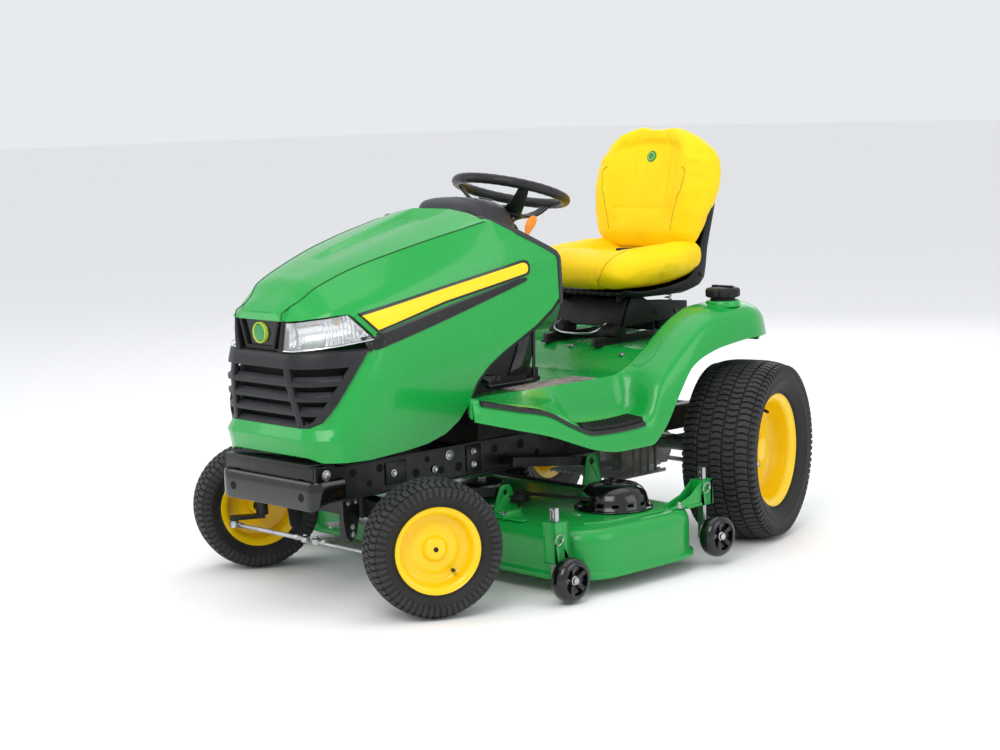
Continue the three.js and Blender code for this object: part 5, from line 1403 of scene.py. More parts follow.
def build_seat():
    def cushion_half(t):
        return float(np.interp(t, [0, 0.12, 0.4, 0.75, 0.9, 1], [0.222, 0.240, 0.249, 0.249, 0.238, 0.218]))

    def cushion_low(t, u):
        return float(np.interp(t, [0, 0.1, 0.3, 0.65, 0.85, 1], [0.826, 0.814, 0.810, 0.812, 0.826, 0.846]))

    def cushion_high(t, u):
        centre = float(
            np.interp(t, [0, 0.1, 0.25, 0.45, 0.62, 0.8, 1], [0.916, 0.930, 0.938, 0.930, 0.920, 0.915, 0.922])
        )
        roll = float(
            np.interp(t, [0, 0.15, 0.3, 0.5, 0.7, 0.9, 1], [0.006, 0.014, 0.024, 0.042, 0.058, 0.060, 0.052])
        )
        return centre + roll * smooth_step((abs(u) - 0.40) / 0.42)

    def cushion_seams(p):
        d = 1.0
        x, y, z = p
        if z > 0.83:
            d = min(d, abs(abs(x) - 0.128 - 0.02 * (y - 0.4)))
        if z > 0.88 and abs(x) < 0.135:
            d = min(d, abs(y - 0.47 - 0.9 * x * x), abs(y - 0.60 - 0.9 * x * x))
        return d

    cushion = raw("seat_cushion_cover", cushion_solid(cushion_place, 0.455, cushion_half, cushion_low, cushion_high))
    stuffed(cushion, 0.024, cushion_seams)
    dress(cushion, VINYL, "seat", replaces=["seat_cushion"], angle=60)

    def back_half(t):
        return float(
            np.interp(
                t, [0, 0.10, 0.3, 0.5, 0.62, 0.72, 0.82, 0.9, 0.96, 1],
                [0.206, 0.220, 0.238, 0.253, 0.252, 0.242, 0.218, 0.180, 0.140, 0.100]
            )
        )

    def back_low(t, u):
        base = float(np.interp(t, [0, 0.2, 0.5, 0.8, 1], [0.010, 0.0, -0.012, -0.012, 0.012]))
        wing = float(np.interp(t, [0, 0.15, 0.4, 0.75, 0.95, 1], [0.0, 0.016, 0.044, 0.046, 0.014, 0.0]))
        return base - wing * smooth_step((abs(u) - 0.35) / 0.5)

    def back_high(t, u):
        centre = float(np.interp(t, [0, 0.12, 0.3, 0.55, 0.8, 1], [0.078, 0.096, 0.090, 0.070, 0.056, 0.056]))
        roll = float(np.interp(t, [0, 0.2, 0.45, 0.7, 0.9, 1], [0.004, 0.022, 0.050, 0.056, 0.040, 0.012]))
        return centre + roll * smooth_step((abs(u) - 0.36) / 0.42)

    def back_seams(p):
        x, y, z = p
        front = y < 0.788 + (z - 0.95) * 0.149 - 0.03
        if not front:
            return 1.0
        inner = 0.128 + 0.05 * smooth_step((z - 1.0) / 0.2) - 0.07 * smooth_step((z - 1.2) / 0.1)
        d = abs(abs(x) - inner) if z < 1.275 else 1.0
        if abs(x) < inner:
            d = min(d, abs(z - 1.275 + x * x * 1.2), abs(z - 1.06))
        return d

    back = raw("seat_back_cover", cushion_solid(back_place, 0.421, back_half, back_low, back_high, 48, 36))
    stuffed(back, 0.022, back_seams)
    dress(back, VINYL, "seat", replaces=["seat_back"], angle=60)

    def on_surface(cover, guesses):
        found = [cover.closest_point_on_mesh(Vector(g) + OFFSET) for g in guesses]
        return [(place - OFFSET, normal) for _, place, normal, _ in found]

    # Stitched seams, the ringed disc on the back and the drain slot at the rear of the cushion, whose dark lip is
    # painted shadow.
    seams = Shape()
    for side in (1, -1):
        guesses = resample(
            [
                (side * 0.186, 0.43, 0.985), (side * 0.178, 0.345, 0.93), (side * 0.164, 0.325, 0.87),
                (side * 0.145, 0.33, 0.84), (side * 0.128, 0.345, 0.805)
            ],
            40
        )
        seams.add(tube([tuple(place) for place, _ in on_surface(cushion, guesses)], 0.0011, 8))
        guesses = [
            (side * (0.128 + 0.05 * smooth_step((z - 1.0) / 0.2) - 0.07 * smooth_step((z - 1.2) / 0.1)), 0.60, z)
            for z in np.linspace(0.985, 1.225, 50)
        ]
        seams.add(tube([tuple(place) for place, _ in on_surface(back, guesses)], 0.0010, 8))
    piece("seat_seams", seams, SEAM, "seat")
    (place, normal), = on_surface(back, [(0, 0.70, 1.258)])
    disc = turned(
        [(0, 0.0030), (0.0185, 0.0030), (0.0200, 0.0015), (0.0200, -0.004), (0, -0.004)], 40, tuple(place),
        tuple(normal)
    )
    piece("seat_disc", disc, BADGE_GREEN, "seat")
    ring = turned(
        [(0.0118, -0.002), (0.0118, 0.0040), (0.0140, 0.0040), (0.0140, -0.002)], 40, tuple(place), tuple(normal),
        closed=True
    )
    piece("seat_disc_ring", ring, BADGE_RING, "seat")
    (place, normal), = on_surface(cushion, [(0, 0.636, 0.99)])
    slot = [
        (0.046 * math.copysign(abs(math.cos(a)) ** 0.7, math.cos(a)), 0.034 * math.sin(a))
        for a in (2 * math.pi * k / 40 for k in range(40))
    ]
    lip = loft(
        [
            [(x * k, place[1] + y * k, place[2] + h) for x, y in slot]
            for k, h in ((1.0, -0.010), (1.0, 0.0015), (0.94, 0.0032))
        ]
    )
    piece("seat_drain_painted_shadow", lip, SHADOW, "seat")

    # The moulded shell below and behind the cushions, with raised edges.
    profile = [
        (0.424, 0.806), (0.450, 0.798), (0.500, 0.7925), (0.600, 0.7925), (0.690, 0.794), (0.735, 0.808),
        (0.765, 0.832), (0.786, 0.870), (0.806, 0.925), (0.828, 0.985), (0.852, 1.055), (0.871, 1.115),
        (0.884, 1.165), (0.887, 1.186)
    ]
    halves = [0.188, 0.198, 0.206, 0.214, 0.222, 0.228, 0.226, 0.216, 0.206, 0.202, 0.200, 0.194, 0.178, 0.150]
    lips = [0.006, 0.010, 0.014, 0.022, 0.040, 0.058, 0.066, 0.058, 0.040, 0.034, 0.034, 0.030, 0.020, 0.010]
    rings = []
    profile_fine = resample(profile, 40)
    stations = np.cumsum([0] + [math.dist(a, b) for a, b in zip(profile, profile[1:])])
    for i, (y, z) in enumerate(profile_fine):
        s = stations[-1] * i / 39
        half, lip = float(np.interp(s, stations, halves)), float(np.interp(s, stations, lips))
        a, b = Vector(profile_fine[max(0, i - 1)]), Vector(profile_fine[min(39, i + 1)])
        along = (b - a).normalized()
        normal = Vector((-along[1], along[0]))
        inner = [
            (-half, lip), (-half, lip * 0.6), (-half + 0.004, 0.010), (-half + 0.022, 0.001), (-half * 0.55, 0),
            (0, 0), (half * 0.55, 0), (half - 0.022, 0.001), (half - 0.004, 0.010), (half, lip * 0.6), (half, lip)
        ]
        outer = [
            (half + 0.006, lip), (half + 0.006, lip * 0.55), (half + 0.002, 0.002), (half - 0.024, -0.008),
            (half * 0.55, -0.0085), (0, -0.0085), (-half * 0.55, -0.0085), (-half + 0.024, -0.008),
            (-half - 0.002, 0.002), (-half - 0.006, lip * 0.55), (-half - 0.006, lip)
        ]
        rings.append([(x, y + normal[0] * o, z + normal[1] * o) for x, o in inner + outer])
    shell = raw("seat_shell_detail", loft(rings))
    add_bevel(shell, 0.0015, 2, 50)
    dress(shell, BLACK_PLASTIC, "seat", replaces=["seat_shell"], angle=35)
    ribs = Shape()
    for x in (-0.12, -0.04, 0.04, 0.12):
        line = [profile_fine[i] for i in range(24, 37)]
        path = []
        for i, (y, z) in enumerate(line):
            path.append((x, y + 0.0085, z - 0.0035))
        ribs.add(tube(path, 0.0045, 8))
    piece("seat_shell_ribs", ribs, BLACK_PLASTIC, "seat")
    clips = Shape()
    for k in range(8):
        x = -0.105 + k * 0.030
        clips.add(slab(x - 0.008, x + 0.008, 0.428, 0.446, 0.7915, 0.806))
    piece("seat_clips", clips, BLACK_PLASTIC, "seat", 0.0015)
    screws = Shape()
    for side in (1, -1):
        screws.add(
            turned(
                [(0, 0), (0.009, 0), (0.009, 0.003), (0.006, 0.005), (0, 0.005)], 18, (side * 0.234, 0.742, 0.845),
                (side, 0, 0)
            )
        )
        screws.add(slab(side * 0.140 - 0.005, side * 0.140 + 0.005, 0.4555, 0.4695, 0.789, 0.7985))
    piece("seat_screws", screws, BLACK, "seat", 0.001)


def build_seat_base():
    body = Shape()
    wall = [
        (0.436, 0.692), (0.444, 0.688), (0.486, 0.770), (0.540, 0.770), (0.540, 0.7815), (0.478, 0.7815),
        (0.470, 0.776)
    ]
    body.add(prism(wall, "yz", -0.143, 0.143))
    arm = [
        (0.446, 0.690), (0.480, 0.782), (0.540, 0.782), (0.560, 0.770), (0.640, 0.765), (0.700, 0.758),
        (0.756, 0.753), (0.756, 0.707), (0.700, 0.695), (0.600, 0.697), (0.470, 0.692)
    ]
    for side in (1, -1):
        mirrored = Matrix.Scale(side, 4, X)
        body.add(prism(arm, "yz", 0.1435, 0.1575), mirrored)
        foot = [
            (0.398, 0.6645), (0.398, 0.676), (0.412, 0.692), (0.440, 0.700), (0.462, 0.712), (0.472, 0.700),
            (0.470, 0.6645)
        ]
        body.add(prism(foot, "yz", 0.083, 0.143), mirrored)
        body.add(slab(0.100, 0.130, 0.640, 0.738, 0.6645, 0.706), mirrored)
        body.add(slab(0.124, 0.132, 0.446, 0.480, 0.768, 0.7955), mirrored)
    body.add(slab(-0.148, 0.148, 0.690, 0.706, 0.694, 0.712))
    body.add(slab(-0.143, 0.143, 0.735, 0.743, 0.700, 0.748))
    body.add(slab(-0.143, 0.143, 0.600, 0.608, 0.6645, 0.700))
    piece("seat_bracket", body, BLACK_PLASTIC, "seat_carriage", 0.0025, replaces=["seat_base"], angle=40)
    ribs = Shape()
    for k in range(15):
        x = -0.126 + k * 0.018
        ribs.add(
            loft(
                [
                    [
                        (x - 0.003, 0.4395, 0.700), (x + 0.003, 0.4395, 0.700), (x + 0.003, 0.446, 0.697),
                        (x - 0.003, 0.446, 0.697)
                    ],
                    [
                        (x - 0.003, 0.469, 0.765), (x + 0.003, 0.469, 0.765), (x + 0.003, 0.477, 0.765),
                        (x - 0.003, 0.477, 0.765)
                    ]
                ]
            )
        )
    piece("seat_bracket_ribs", ribs, BLACK_PLASTIC, "seat_carriage", 0.0008)
    holes = Shape()
    for side in (1, -1):
        holes.add(
            turned(
                [
                    (0, -0.001), (0.0105, -0.001), (0.0105, 0.0006), (0.0125, 0.0012), (0.0140, 0.0002),
                    (0.014, -0.004), (0, -0.004)
                ],
                28, (side * 0.112, 0.4275, 0.6972), (0, -0.28, 0.96)
            )
        )
        holes.add(rod((side * 0.120, 0.462, 0.791), (side * 0.146, 0.462, 0.791), 0.0052))
        holes.add(rod((side * 0.1575, 0.60, 0.730), (side * 0.1600, 0.60, 0.730), 0.009))
        holes.add(rod((side * 0.1575, 0.70, 0.722), (side * 0.1600, 0.70, 0.722), 0.009))
    piece("seat_bracket_pins", holes, GLOSS_BLACK, "seat_carriage")
    springs = Shape()
    for side in (1, -1):
        coil = []
        for i in range(97):
            a = 2 * math.pi * i / 16
            coil.append((side * 0.112 + 0.011 * math.cos(a), 0.712 + 0.011 * math.sin(a), 0.7135 + 0.066 * i / 96))
        springs.add(tube(coil, 0.0022, 8))
    piece("seat_springs", springs, STEEL, "seat_carriage")
    bail = round_corners(
        [
            (-0.120, 0.452, 0.706), (-0.122, 0.395, 0.682), (-0.07, 0.372, 0.670), (0.02, 0.376, 0.668),
            (0.068, 0.398, 0.672), (0.082, 0.440, 0.700)
        ],
        [0, 0.03, 0.05, 0.05, 0.03, 0], 8
    )
    piece("seat_bail", tube(bail, 0.0038, 12), STEEL, "seat_carriage")


# ---------------------------------------------------------------- wheels
def wheel_matrix(node, side, steer):
    """A wheel's own frame: its centre, with +X outboard."""
    low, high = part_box(node)
    centre = (Vector(low) + Vector(high)) / 2 - OFFSET
    turn = Matrix.Rotation(math.radians(steer) + (0 if side > 0 else math.pi), 4, "Z")
    return Matrix.Translation(centre) @ turn


def tread_radius(radius, half, a):
    return radius - 0.007 - 0.021 * (abs(a) / half) ** 3.4


def tyre_pieces(name, m, radius, width, rim, body, columns, rows, replaces):
    half = width / 2
    side_profile = [
        (rim - 0.003, 0.50), (rim - 0.003, 0.70), (rim + 0.004, 0.755), (rim + 0.011, 0.765), (rim + 0.0125, 0.80),
        (rim + 0.016, 0.825)
    ]
    tall = radius - rim
    side_profile += [
        (rim + tall * k, w)
        for k, w in (
            (0.30, 0.905), (0.42, 0.955), (0.44, 0.965), (0.455, 0.955), (0.60, 0.985), (0.70, 0.985), (0.80, 0.955)
        )
    ]
    profile = [(r, -w * half) for r, w in side_profile]
    profile += [(tread_radius(radius, half, a * half), a * half) for a in np.linspace(-0.88, 0.88, 17)]
    profile += [(r, w * half) for r, w in side_profile[::-1]]
    carcass = turned(profile, 96, (0, 0, 0), (1, 0, 0), closed=True)
    piece(name, Shape().add(carcass, m), RUBBER, body, replaces=replaces, angle=50)
    blocks = Shape()

    def block(corners, base, top):
        """corners are (axial, angle); the block stands from base to top above the carcass."""
        middle_a = sum(a for a, _ in corners) / len(corners)
        middle_t = sum(t for _, t in corners) / len(corners)
        rings = []
        for lift, shrink in ((base, 1.0), (top - 0.0015, 1.0), (top, 0.86)):
            ring = []
            for a, t in corners:
                aa, tt = middle_a + (a - middle_a) * shrink, middle_t + (t - middle_t) * shrink
                r = tread_radius(radius, half, aa) + lift
                ring.append((aa, r * math.cos(tt), r * math.sin(tt)))
            rings.append(ring)
        blocks.add(loft(rings), m)

    step = 2 * math.pi / rows
    pitch = 1.72 * half / columns
    for c in range(columns):
        a0 = -0.86 * half + pitch * c
        for k in range(rows):
            t = step * (k + (0.5 if c % 2 else 0))
            sway = step * (0.09 if c % 2 else -0.09)
            g = pitch * 0.085
            w = step * 0.365
            middle = a0 + pitch / 2
            block(
                [
                    (a0 + g, t - w - sway), (middle, t - w + sway), (a0 + pitch - g, t - w - sway),
                    (a0 + pitch - g, t + w - sway), (middle, t + w + sway), (a0 + g, t + w - sway)
                ],
                -0.002, 0.0075
            )
    lugs = Shape()
    for sign in (-1, 1):
        for k in range(rows):
            t0 = step * (k + (0.25 if sign > 0 else 0))
            w = step * 0.3
            rings = []
            for r, a, lift in (
                (tread_radius(radius, half, 0.86 * half) + 0.005, 0.855, 0.0), (radius - 0.016, 0.915, 0.0045),
                (radius - 0.028, 0.972, 0.0035), (radius - 0.040, 0.985, 0.0015)
            ):
                outer = [
                    (sign * (a * half + lift), r + (0.002 if lift else 0), t0 - w),
                    (sign * (a * half + lift), r + (0.002 if lift else 0), t0 + w)
                ]
                inner = [
                    (sign * (a * half - 0.006), r - 0.006, t0 + w), (sign * (a * half - 0.006), r - 0.006, t0 - w)
                ]
                rings.append([(aa, rr * math.cos(tt), rr * math.sin(tt)) for aa, rr, tt in outer + inner])
            lugs.add(loft(rings), m)
    # Blocks and lugs take the lighter rubber, a painted highlight.
    piece(name + "_tread", blocks, TREAD_HIGHLIGHT, body, angle=30)
    piece(name + "_lugs", lugs, TREAD_HIGHLIGHT, body, angle=30)


def build_wheels():
    for name, side in SIDES:
        m = wheel_matrix("front_tyre_" + name, side, -26)
        body = "front_wheel_" + name
        tyre_pieces("front_tyre_cover_" + name, m, 0.196, 0.156, 0.120, body, 4, 60, ["front_tyre_" + name])
        outer = [
            (0.0, 0.0375), (0.022, 0.0370), (0.030, 0.0345), (0.034, 0.029), (0.038, 0.0225), (0.052, 0.0195),
            (0.062, 0.0200), (0.070, 0.0160), (0.078, 0.0135), (0.094, 0.0145), (0.1005, 0.020), (0.104, 0.034),
            (0.108, 0.0485), (0.1135, 0.0545), (0.1200, 0.0560), (0.1235, 0.0580), (0.1250, 0.0605), (0.1240, 0.0625)
        ]
        inner = [
            (0.1215, 0.0610), (0.1200, 0.0590), (0.1130, 0.0575), (0.106, 0.052), (0.1035, 0.046), (0.1025, -0.046),
            (0.108, -0.054), (0.119, -0.0575), (0.1235, -0.0605), (0.1215, -0.0630), (0.112, -0.058), (0.103, -0.052),
            (0.0995, -0.046), (0.0985, 0.008), (0.080, 0.009), (0.040, 0.014), (0.031, 0.018), (0.027, -0.030),
            (0.0165, -0.030), (0.0155, 0.0345), (0.0, 0.0345)
        ]
        rim = turned(outer + inner, 80, (0, 0, 0), (1, 0, 0))
        piece("front_rim_disc_" + name, Shape().add(rim, m), YELLOW, body, replaces=["front_rim_" + name], angle=40)
        extras = Shape()
        a = math.radians(-52)
        extras.add(
            tube(
                [
                    (0.016, 0.086 * math.cos(a), 0.086 * math.sin(a)),
                    (0.028, 0.084 * math.cos(a), 0.084 * math.sin(a)),
                    (0.041, 0.080 * math.cos(a), 0.080 * math.sin(a))
                ],
                [0.0058, 0.0042, 0.0042], 12
            ),
            m
        )
        extras.add(turned([(0, 0.037), (0.007, 0.037), (0.007, 0.0395), (0, 0.041)], 18, (0, 0, 0), (1, 0, 0)), m)
        piece("front_valve_" + name, extras, BLACK_PLASTIC, body)

        m = wheel_matrix("rear_tyre_" + name, side, 18)
        body = "rear_wheel_" + name
        tyre_pieces("rear_tyre_cover_" + name, m, 0.289, 0.246, 0.178, body, 5, 84, ["rear_tyre_" + name])
        outer = [
            (0.0, 0.0520), (0.030, 0.0515), (0.040, 0.047), (0.044, 0.038), (0.047, 0.012), (0.054, 0.006),
            (0.095, 0.002), (0.125, 0.004), (0.146, 0.010), (0.1535, 0.020), (0.158, 0.050), (0.162, 0.076),
            (0.168, 0.0835), (0.1765, 0.0865), (0.1815, 0.0890), (0.1835, 0.0925), (0.1820, 0.0950)
        ]
        inner = [
            (0.1790, 0.0930), (0.1775, 0.0900), (0.168, 0.0875), (0.160, 0.082), (0.1575, 0.074), (0.1565, -0.074),
            (0.166, -0.085), (0.1775, -0.0890), (0.1815, -0.0935), (0.1785, -0.0955), (0.167, -0.090),
            (0.156, -0.080), (0.1525, -0.072), (0.150, 0.002), (0.125, -0.001), (0.060, -0.004), (0.048, -0.050),
            (0.036, -0.052), (0.0195, -0.050), (0.0195, 0.046), (0.0, 0.047)
        ]
        rim = turned(outer + inner, 96, (0, 0, 0), (1, 0, 0))
        piece("rear_rim_disc_" + name, Shape().add(rim, m), YELLOW, body, replaces=["rear_rim_" + name], angle=40)
        nuts = Shape()
        for k in range(5):
            t = 2 * math.pi * k / 5 + 0.3
            at = (0.002, 0.074 * math.cos(t), 0.074 * math.sin(t))
            nuts.add(
                turned(
                    [
                        (0, 0), (0.0135, 0), (0.0125, 0.003), (0.010, 0.0035), (0.0098, 0.014), (0.007, 0.017),
                        (0, 0.018)
                    ],
                    18, at, (1, 0, 0)
                ),
                m
            )
        piece("rear_bolts_" + name, nuts, STEEL, body)
        a = math.radians(62)
        stem = tube(
            [
                (0.012, 0.140 * math.cos(a), 0.140 * math.sin(a)), (0.028, 0.134 * math.cos(a), 0.134 * math.sin(a)),
                (0.046, 0.127 * math.cos(a), 0.127 * math.sin(a))
            ],
            [0.0075, 0.0050, 0.0050], 12
        )
        piece("rear_valve_" + name, Shape().add(stem, m), BLACK_PLASTIC, body)


# ---------------------------------------------------------------- chassis
def bolt(at, axis, radius=0.009, height=0.007):
    profile = [
        (0, 0), (radius * 1.45, 0), (radius * 1.45, 0.0018), (radius * 1.05, 0.0024), (radius, height),
        (radius * 0.75, height + 0.0014), (0, height + 0.0014)
    ]
    return turned(profile, 18, at, axis)


def build_chassis():
    """Rail flanges, holes and bolts, the front bumper, the hanging plates and the fins of the transaxle."""
    flanges, holes, bolts = Shape(), Shape(), Shape()
    for name, side in SIDES:
        mirrored = Matrix.Scale(side, 4, X)
        flanges.add(slab(0.1905, 0.2035, -0.782, 0.795, 0.4095, 0.4150), mirrored)
        flanges.add(slab(0.1905, 0.1985, -0.782, 0.795, 0.3100, 0.3150), mirrored)
        for y0, y1, z0, z1 in (
            (-0.62, -0.54, 0.330, 0.398), (-0.30, -0.24, 0.322, 0.404), (0.28, 0.36, 0.330, 0.404)
        ):
            flanges.add(slab(0.1905, 0.1945, y0, y1, z0, z1), mirrored)
        # The holes are shallow dark discs: painted shadow inside each hole.
        for y, z, r in (
            (-0.740, 0.385, 0.009), (-0.680, 0.345, 0.006), (-0.640, 0.385, 0.009), (-0.500, 0.350, 0.011),
            (-0.455, 0.385, 0.006), (-0.400, 0.345, 0.008), (-0.330, 0.345, 0.011), (-0.180, 0.380, 0.009),
            (-0.130, 0.345, 0.006), (-0.070, 0.380, 0.011), (0.000, 0.345, 0.008), (0.060, 0.385, 0.009),
            (0.130, 0.345, 0.006), (0.220, 0.380, 0.011), (0.420, 0.350, 0.008), (0.520, 0.385, 0.009)
        ):
            holes.add(
                turned(
                    [
                        (r + 0.0030, -0.002), (r + 0.0030, 0.0002), (r + 0.0018, 0.0014), (r, 0.0004),
                        (r * 0.96, -0.0004), (0, -0.0004)
                    ],
                    24, (side * 0.1905, y, z), (side, 0, 0)
                )
            )
        for y, z, r in (
            (-0.590, 0.364, 0.0075), (-0.430, 0.352, 0.0070), (-0.272, 0.345, 0.0070), (-0.272, 0.385, 0.0070),
            (0.310, 0.350, 0.0075), (0.335, 0.388, 0.0075)
        ):
            bolts.add(bolt((side * 0.1940, y, z), (side, 0, 0), r, 0.006))
        bolts.add(bolt((side * 0.1910, -0.368, 0.386), (side, 0, 0), 0.0105, 0.004))
        bolts.add(bolt((side * 0.2145, -0.858, 0.398), (side, 0, 0), 0.0105, 0.008))
        for y, z in ((-0.718, 0.288), (-0.690, 0.288), (-0.705, 0.215), (-0.705, 0.192)):
            bolts.add(bolt((side * 0.1345, y, z), (side, 0, 0), 0.0062, 0.006))
        plate = [
            (-0.736, 0.3095), (-0.675, 0.3095), (-0.675, 0.245), (-0.690, 0.185), (-0.700, 0.175), (-0.716, 0.175),
            (-0.728, 0.190), (-0.736, 0.240)
        ]
        piece("hanging_plate_" + name, prism(plate, "yz", side * 0.128, side * 0.134), BLACK, "chassis", 0.0012)
    piece("rail_flanges", flanges, BLACK, "chassis", 0.0012)
    piece("rail_hole_painted_shadows", holes, SHADOW, "chassis")
    piece("rail_bolts", bolts, STEEL, "chassis")

    # The bumper: a pressed plate with round corners, a shelf behind its top edge and two tow holes, drawn as discs of
    # painted shadow.
    path = round_corners(
        [(-0.2245, -0.800), (-0.2245, -0.9050), (0.2245, -0.9050), (0.2245, -0.800)], [0, 0.036, 0.036, 0], 8
    )
    path = resample([tuple(p) for p in path], 60)
    rings = []
    for i, (x, y) in enumerate(path):
        a, b = Vector(path[max(0, i - 1)]), Vector(path[min(59, i + 1)])
        along = (b - a).normalized()
        out = Vector((along[1], -along[0]))
        drop = 0.022 * smooth_step((abs(y + 0.9050)) / 0.03)
        rings.append(
            [
                (x + out[0] * o, y + out[1] * o, z)
                for o, z in (
                    (0.0, 0.297 + drop), (0.0035, 0.303 + drop), (0.0035, 0.372), (0.0, 0.380), (-0.010, 0.3845),
                    (-0.012, 0.3845), (-0.004, 0.372), (-0.004, 0.300 + drop)
                )
            ]
        )
    piece("front_bumper", loft(rings), GLOSS_BLACK, "chassis", angle=40)
    shelf = Shape().add(
        slab(-0.205, 0.205, -0.8975, -0.8965, 0.386, 0.428)
    ).add(slab(-0.198, 0.198, -0.905, -0.80, 0.4245, 0.4300))
    piece("front_shelf", shelf, BLACK, "chassis", 0.0004)
    tow = Shape()
    for x in (-0.160, 0.160):
        tow.add(
            turned(
                [(0.0125, -0.002), (0.0125, 0.0004), (0.0110, 0.0014), (0.0095, 0.0002), (0, 0.0002)], 24,
                (x, -0.9087, 0.335), (0, -1, 0)
            )
        )
    piece("tow_hole_painted_shadows", tow, SHADOW, "chassis")

    for name, ends in (("left", (-0.013, 0.347)), ("right", (-0.425, -0.065))):
        joints = Shape()
        for x in ends:
            joints.add(
                turned(
                    [
                        (0, -0.012), (0.008, -0.0115), (0.0125, -0.007), (0.0135, 0.0), (0.0125, 0.006),
                        (0.0085, 0.0095), (0.0065, 0.0105), (0.0065, 0.0145), (0, 0.0145)
                    ],
                    28, (x, -0.724, 0.1555)
                )
            )
        joints.add(
            turned(
                [(0, 0), (0.0085, 0), (0.0085, 0.016), (0, 0.016)], 6, (ends[0] + 0.030, -0.724, 0.1555), (1, 0, 0)
            )
        )
        joints.add(
            turned(
                [(0, 0), (0.0085, 0), (0.0085, 0.016), (0, 0.016)], 6, (ends[1] - 0.046, -0.724, 0.1555), (1, 0, 0)
            )
        )
        piece("tie_rod_ends_" + name, joints, STEEL, "front_link_" + name)

    fins = Shape()
    for k in range(13):
        x = -0.150 + k * 0.025
        fins.add(slab(x - 0.0025, x + 0.0025, 0.395, 0.640, 0.188, 0.200))
    for side in (1, -1):
        for k in range(4):
            y = 0.44 + k * 0.035
            fins.add(
                slab(
                    min(side * 0.186, side * 0.196), max(side * 0.186, side * 0.196), y - 0.0025, y + 0.0025, 0.205,
                    0.300
                )
            )
    piece("transaxle_fins", fins, ALUMINIUM, "chassis", 0.0008)

    # The recessed panel on each side of the console, and its bevelled frame.
    for name, side in SIDES:
        border = [
            (-0.235, 0.650), (-0.215, 0.575), (-0.020, 0.575), (-0.014, 0.790), (-0.040, 0.782), (-0.120, 0.728)
        ]
        border = [tuple(q) for q in round_corners(border, [0.01] * 6, 4, True)]
        frame_line = [(side * 0.2065, y, z) for y, z in border]
        piece("console_frame_" + name, tube(frame_line, 0.0055, 8, True), GLOSS_BLACK, "chassis")
        inner = [(-0.130, 0.600), (-0.040, 0.600), (-0.036, 0.742), (-0.062, 0.738)]
        piece(
            "console_recess_" + name, prism(inner, "yz", side * 0.2055, side * 0.2105), GLOSS_BLACK, "chassis", 0.002
        )


# ---------------------------------------------------------------- mower deck
def deck_ring(grow, z, count=12):
    half, front, rear, r = 0.666 + grow, -0.300 - grow, 0.262 + grow, 0.150 + grow
    corners = (
        (half - r, rear - r, 0), (-half + r, rear - r, 90), (-half + r, front + r, 180), (half - r, front + r, 270)
    )
    return [(x, y, z) for cx, cy, a in corners for x, y in arc(cx, cy, r, a, a + 90, count)]


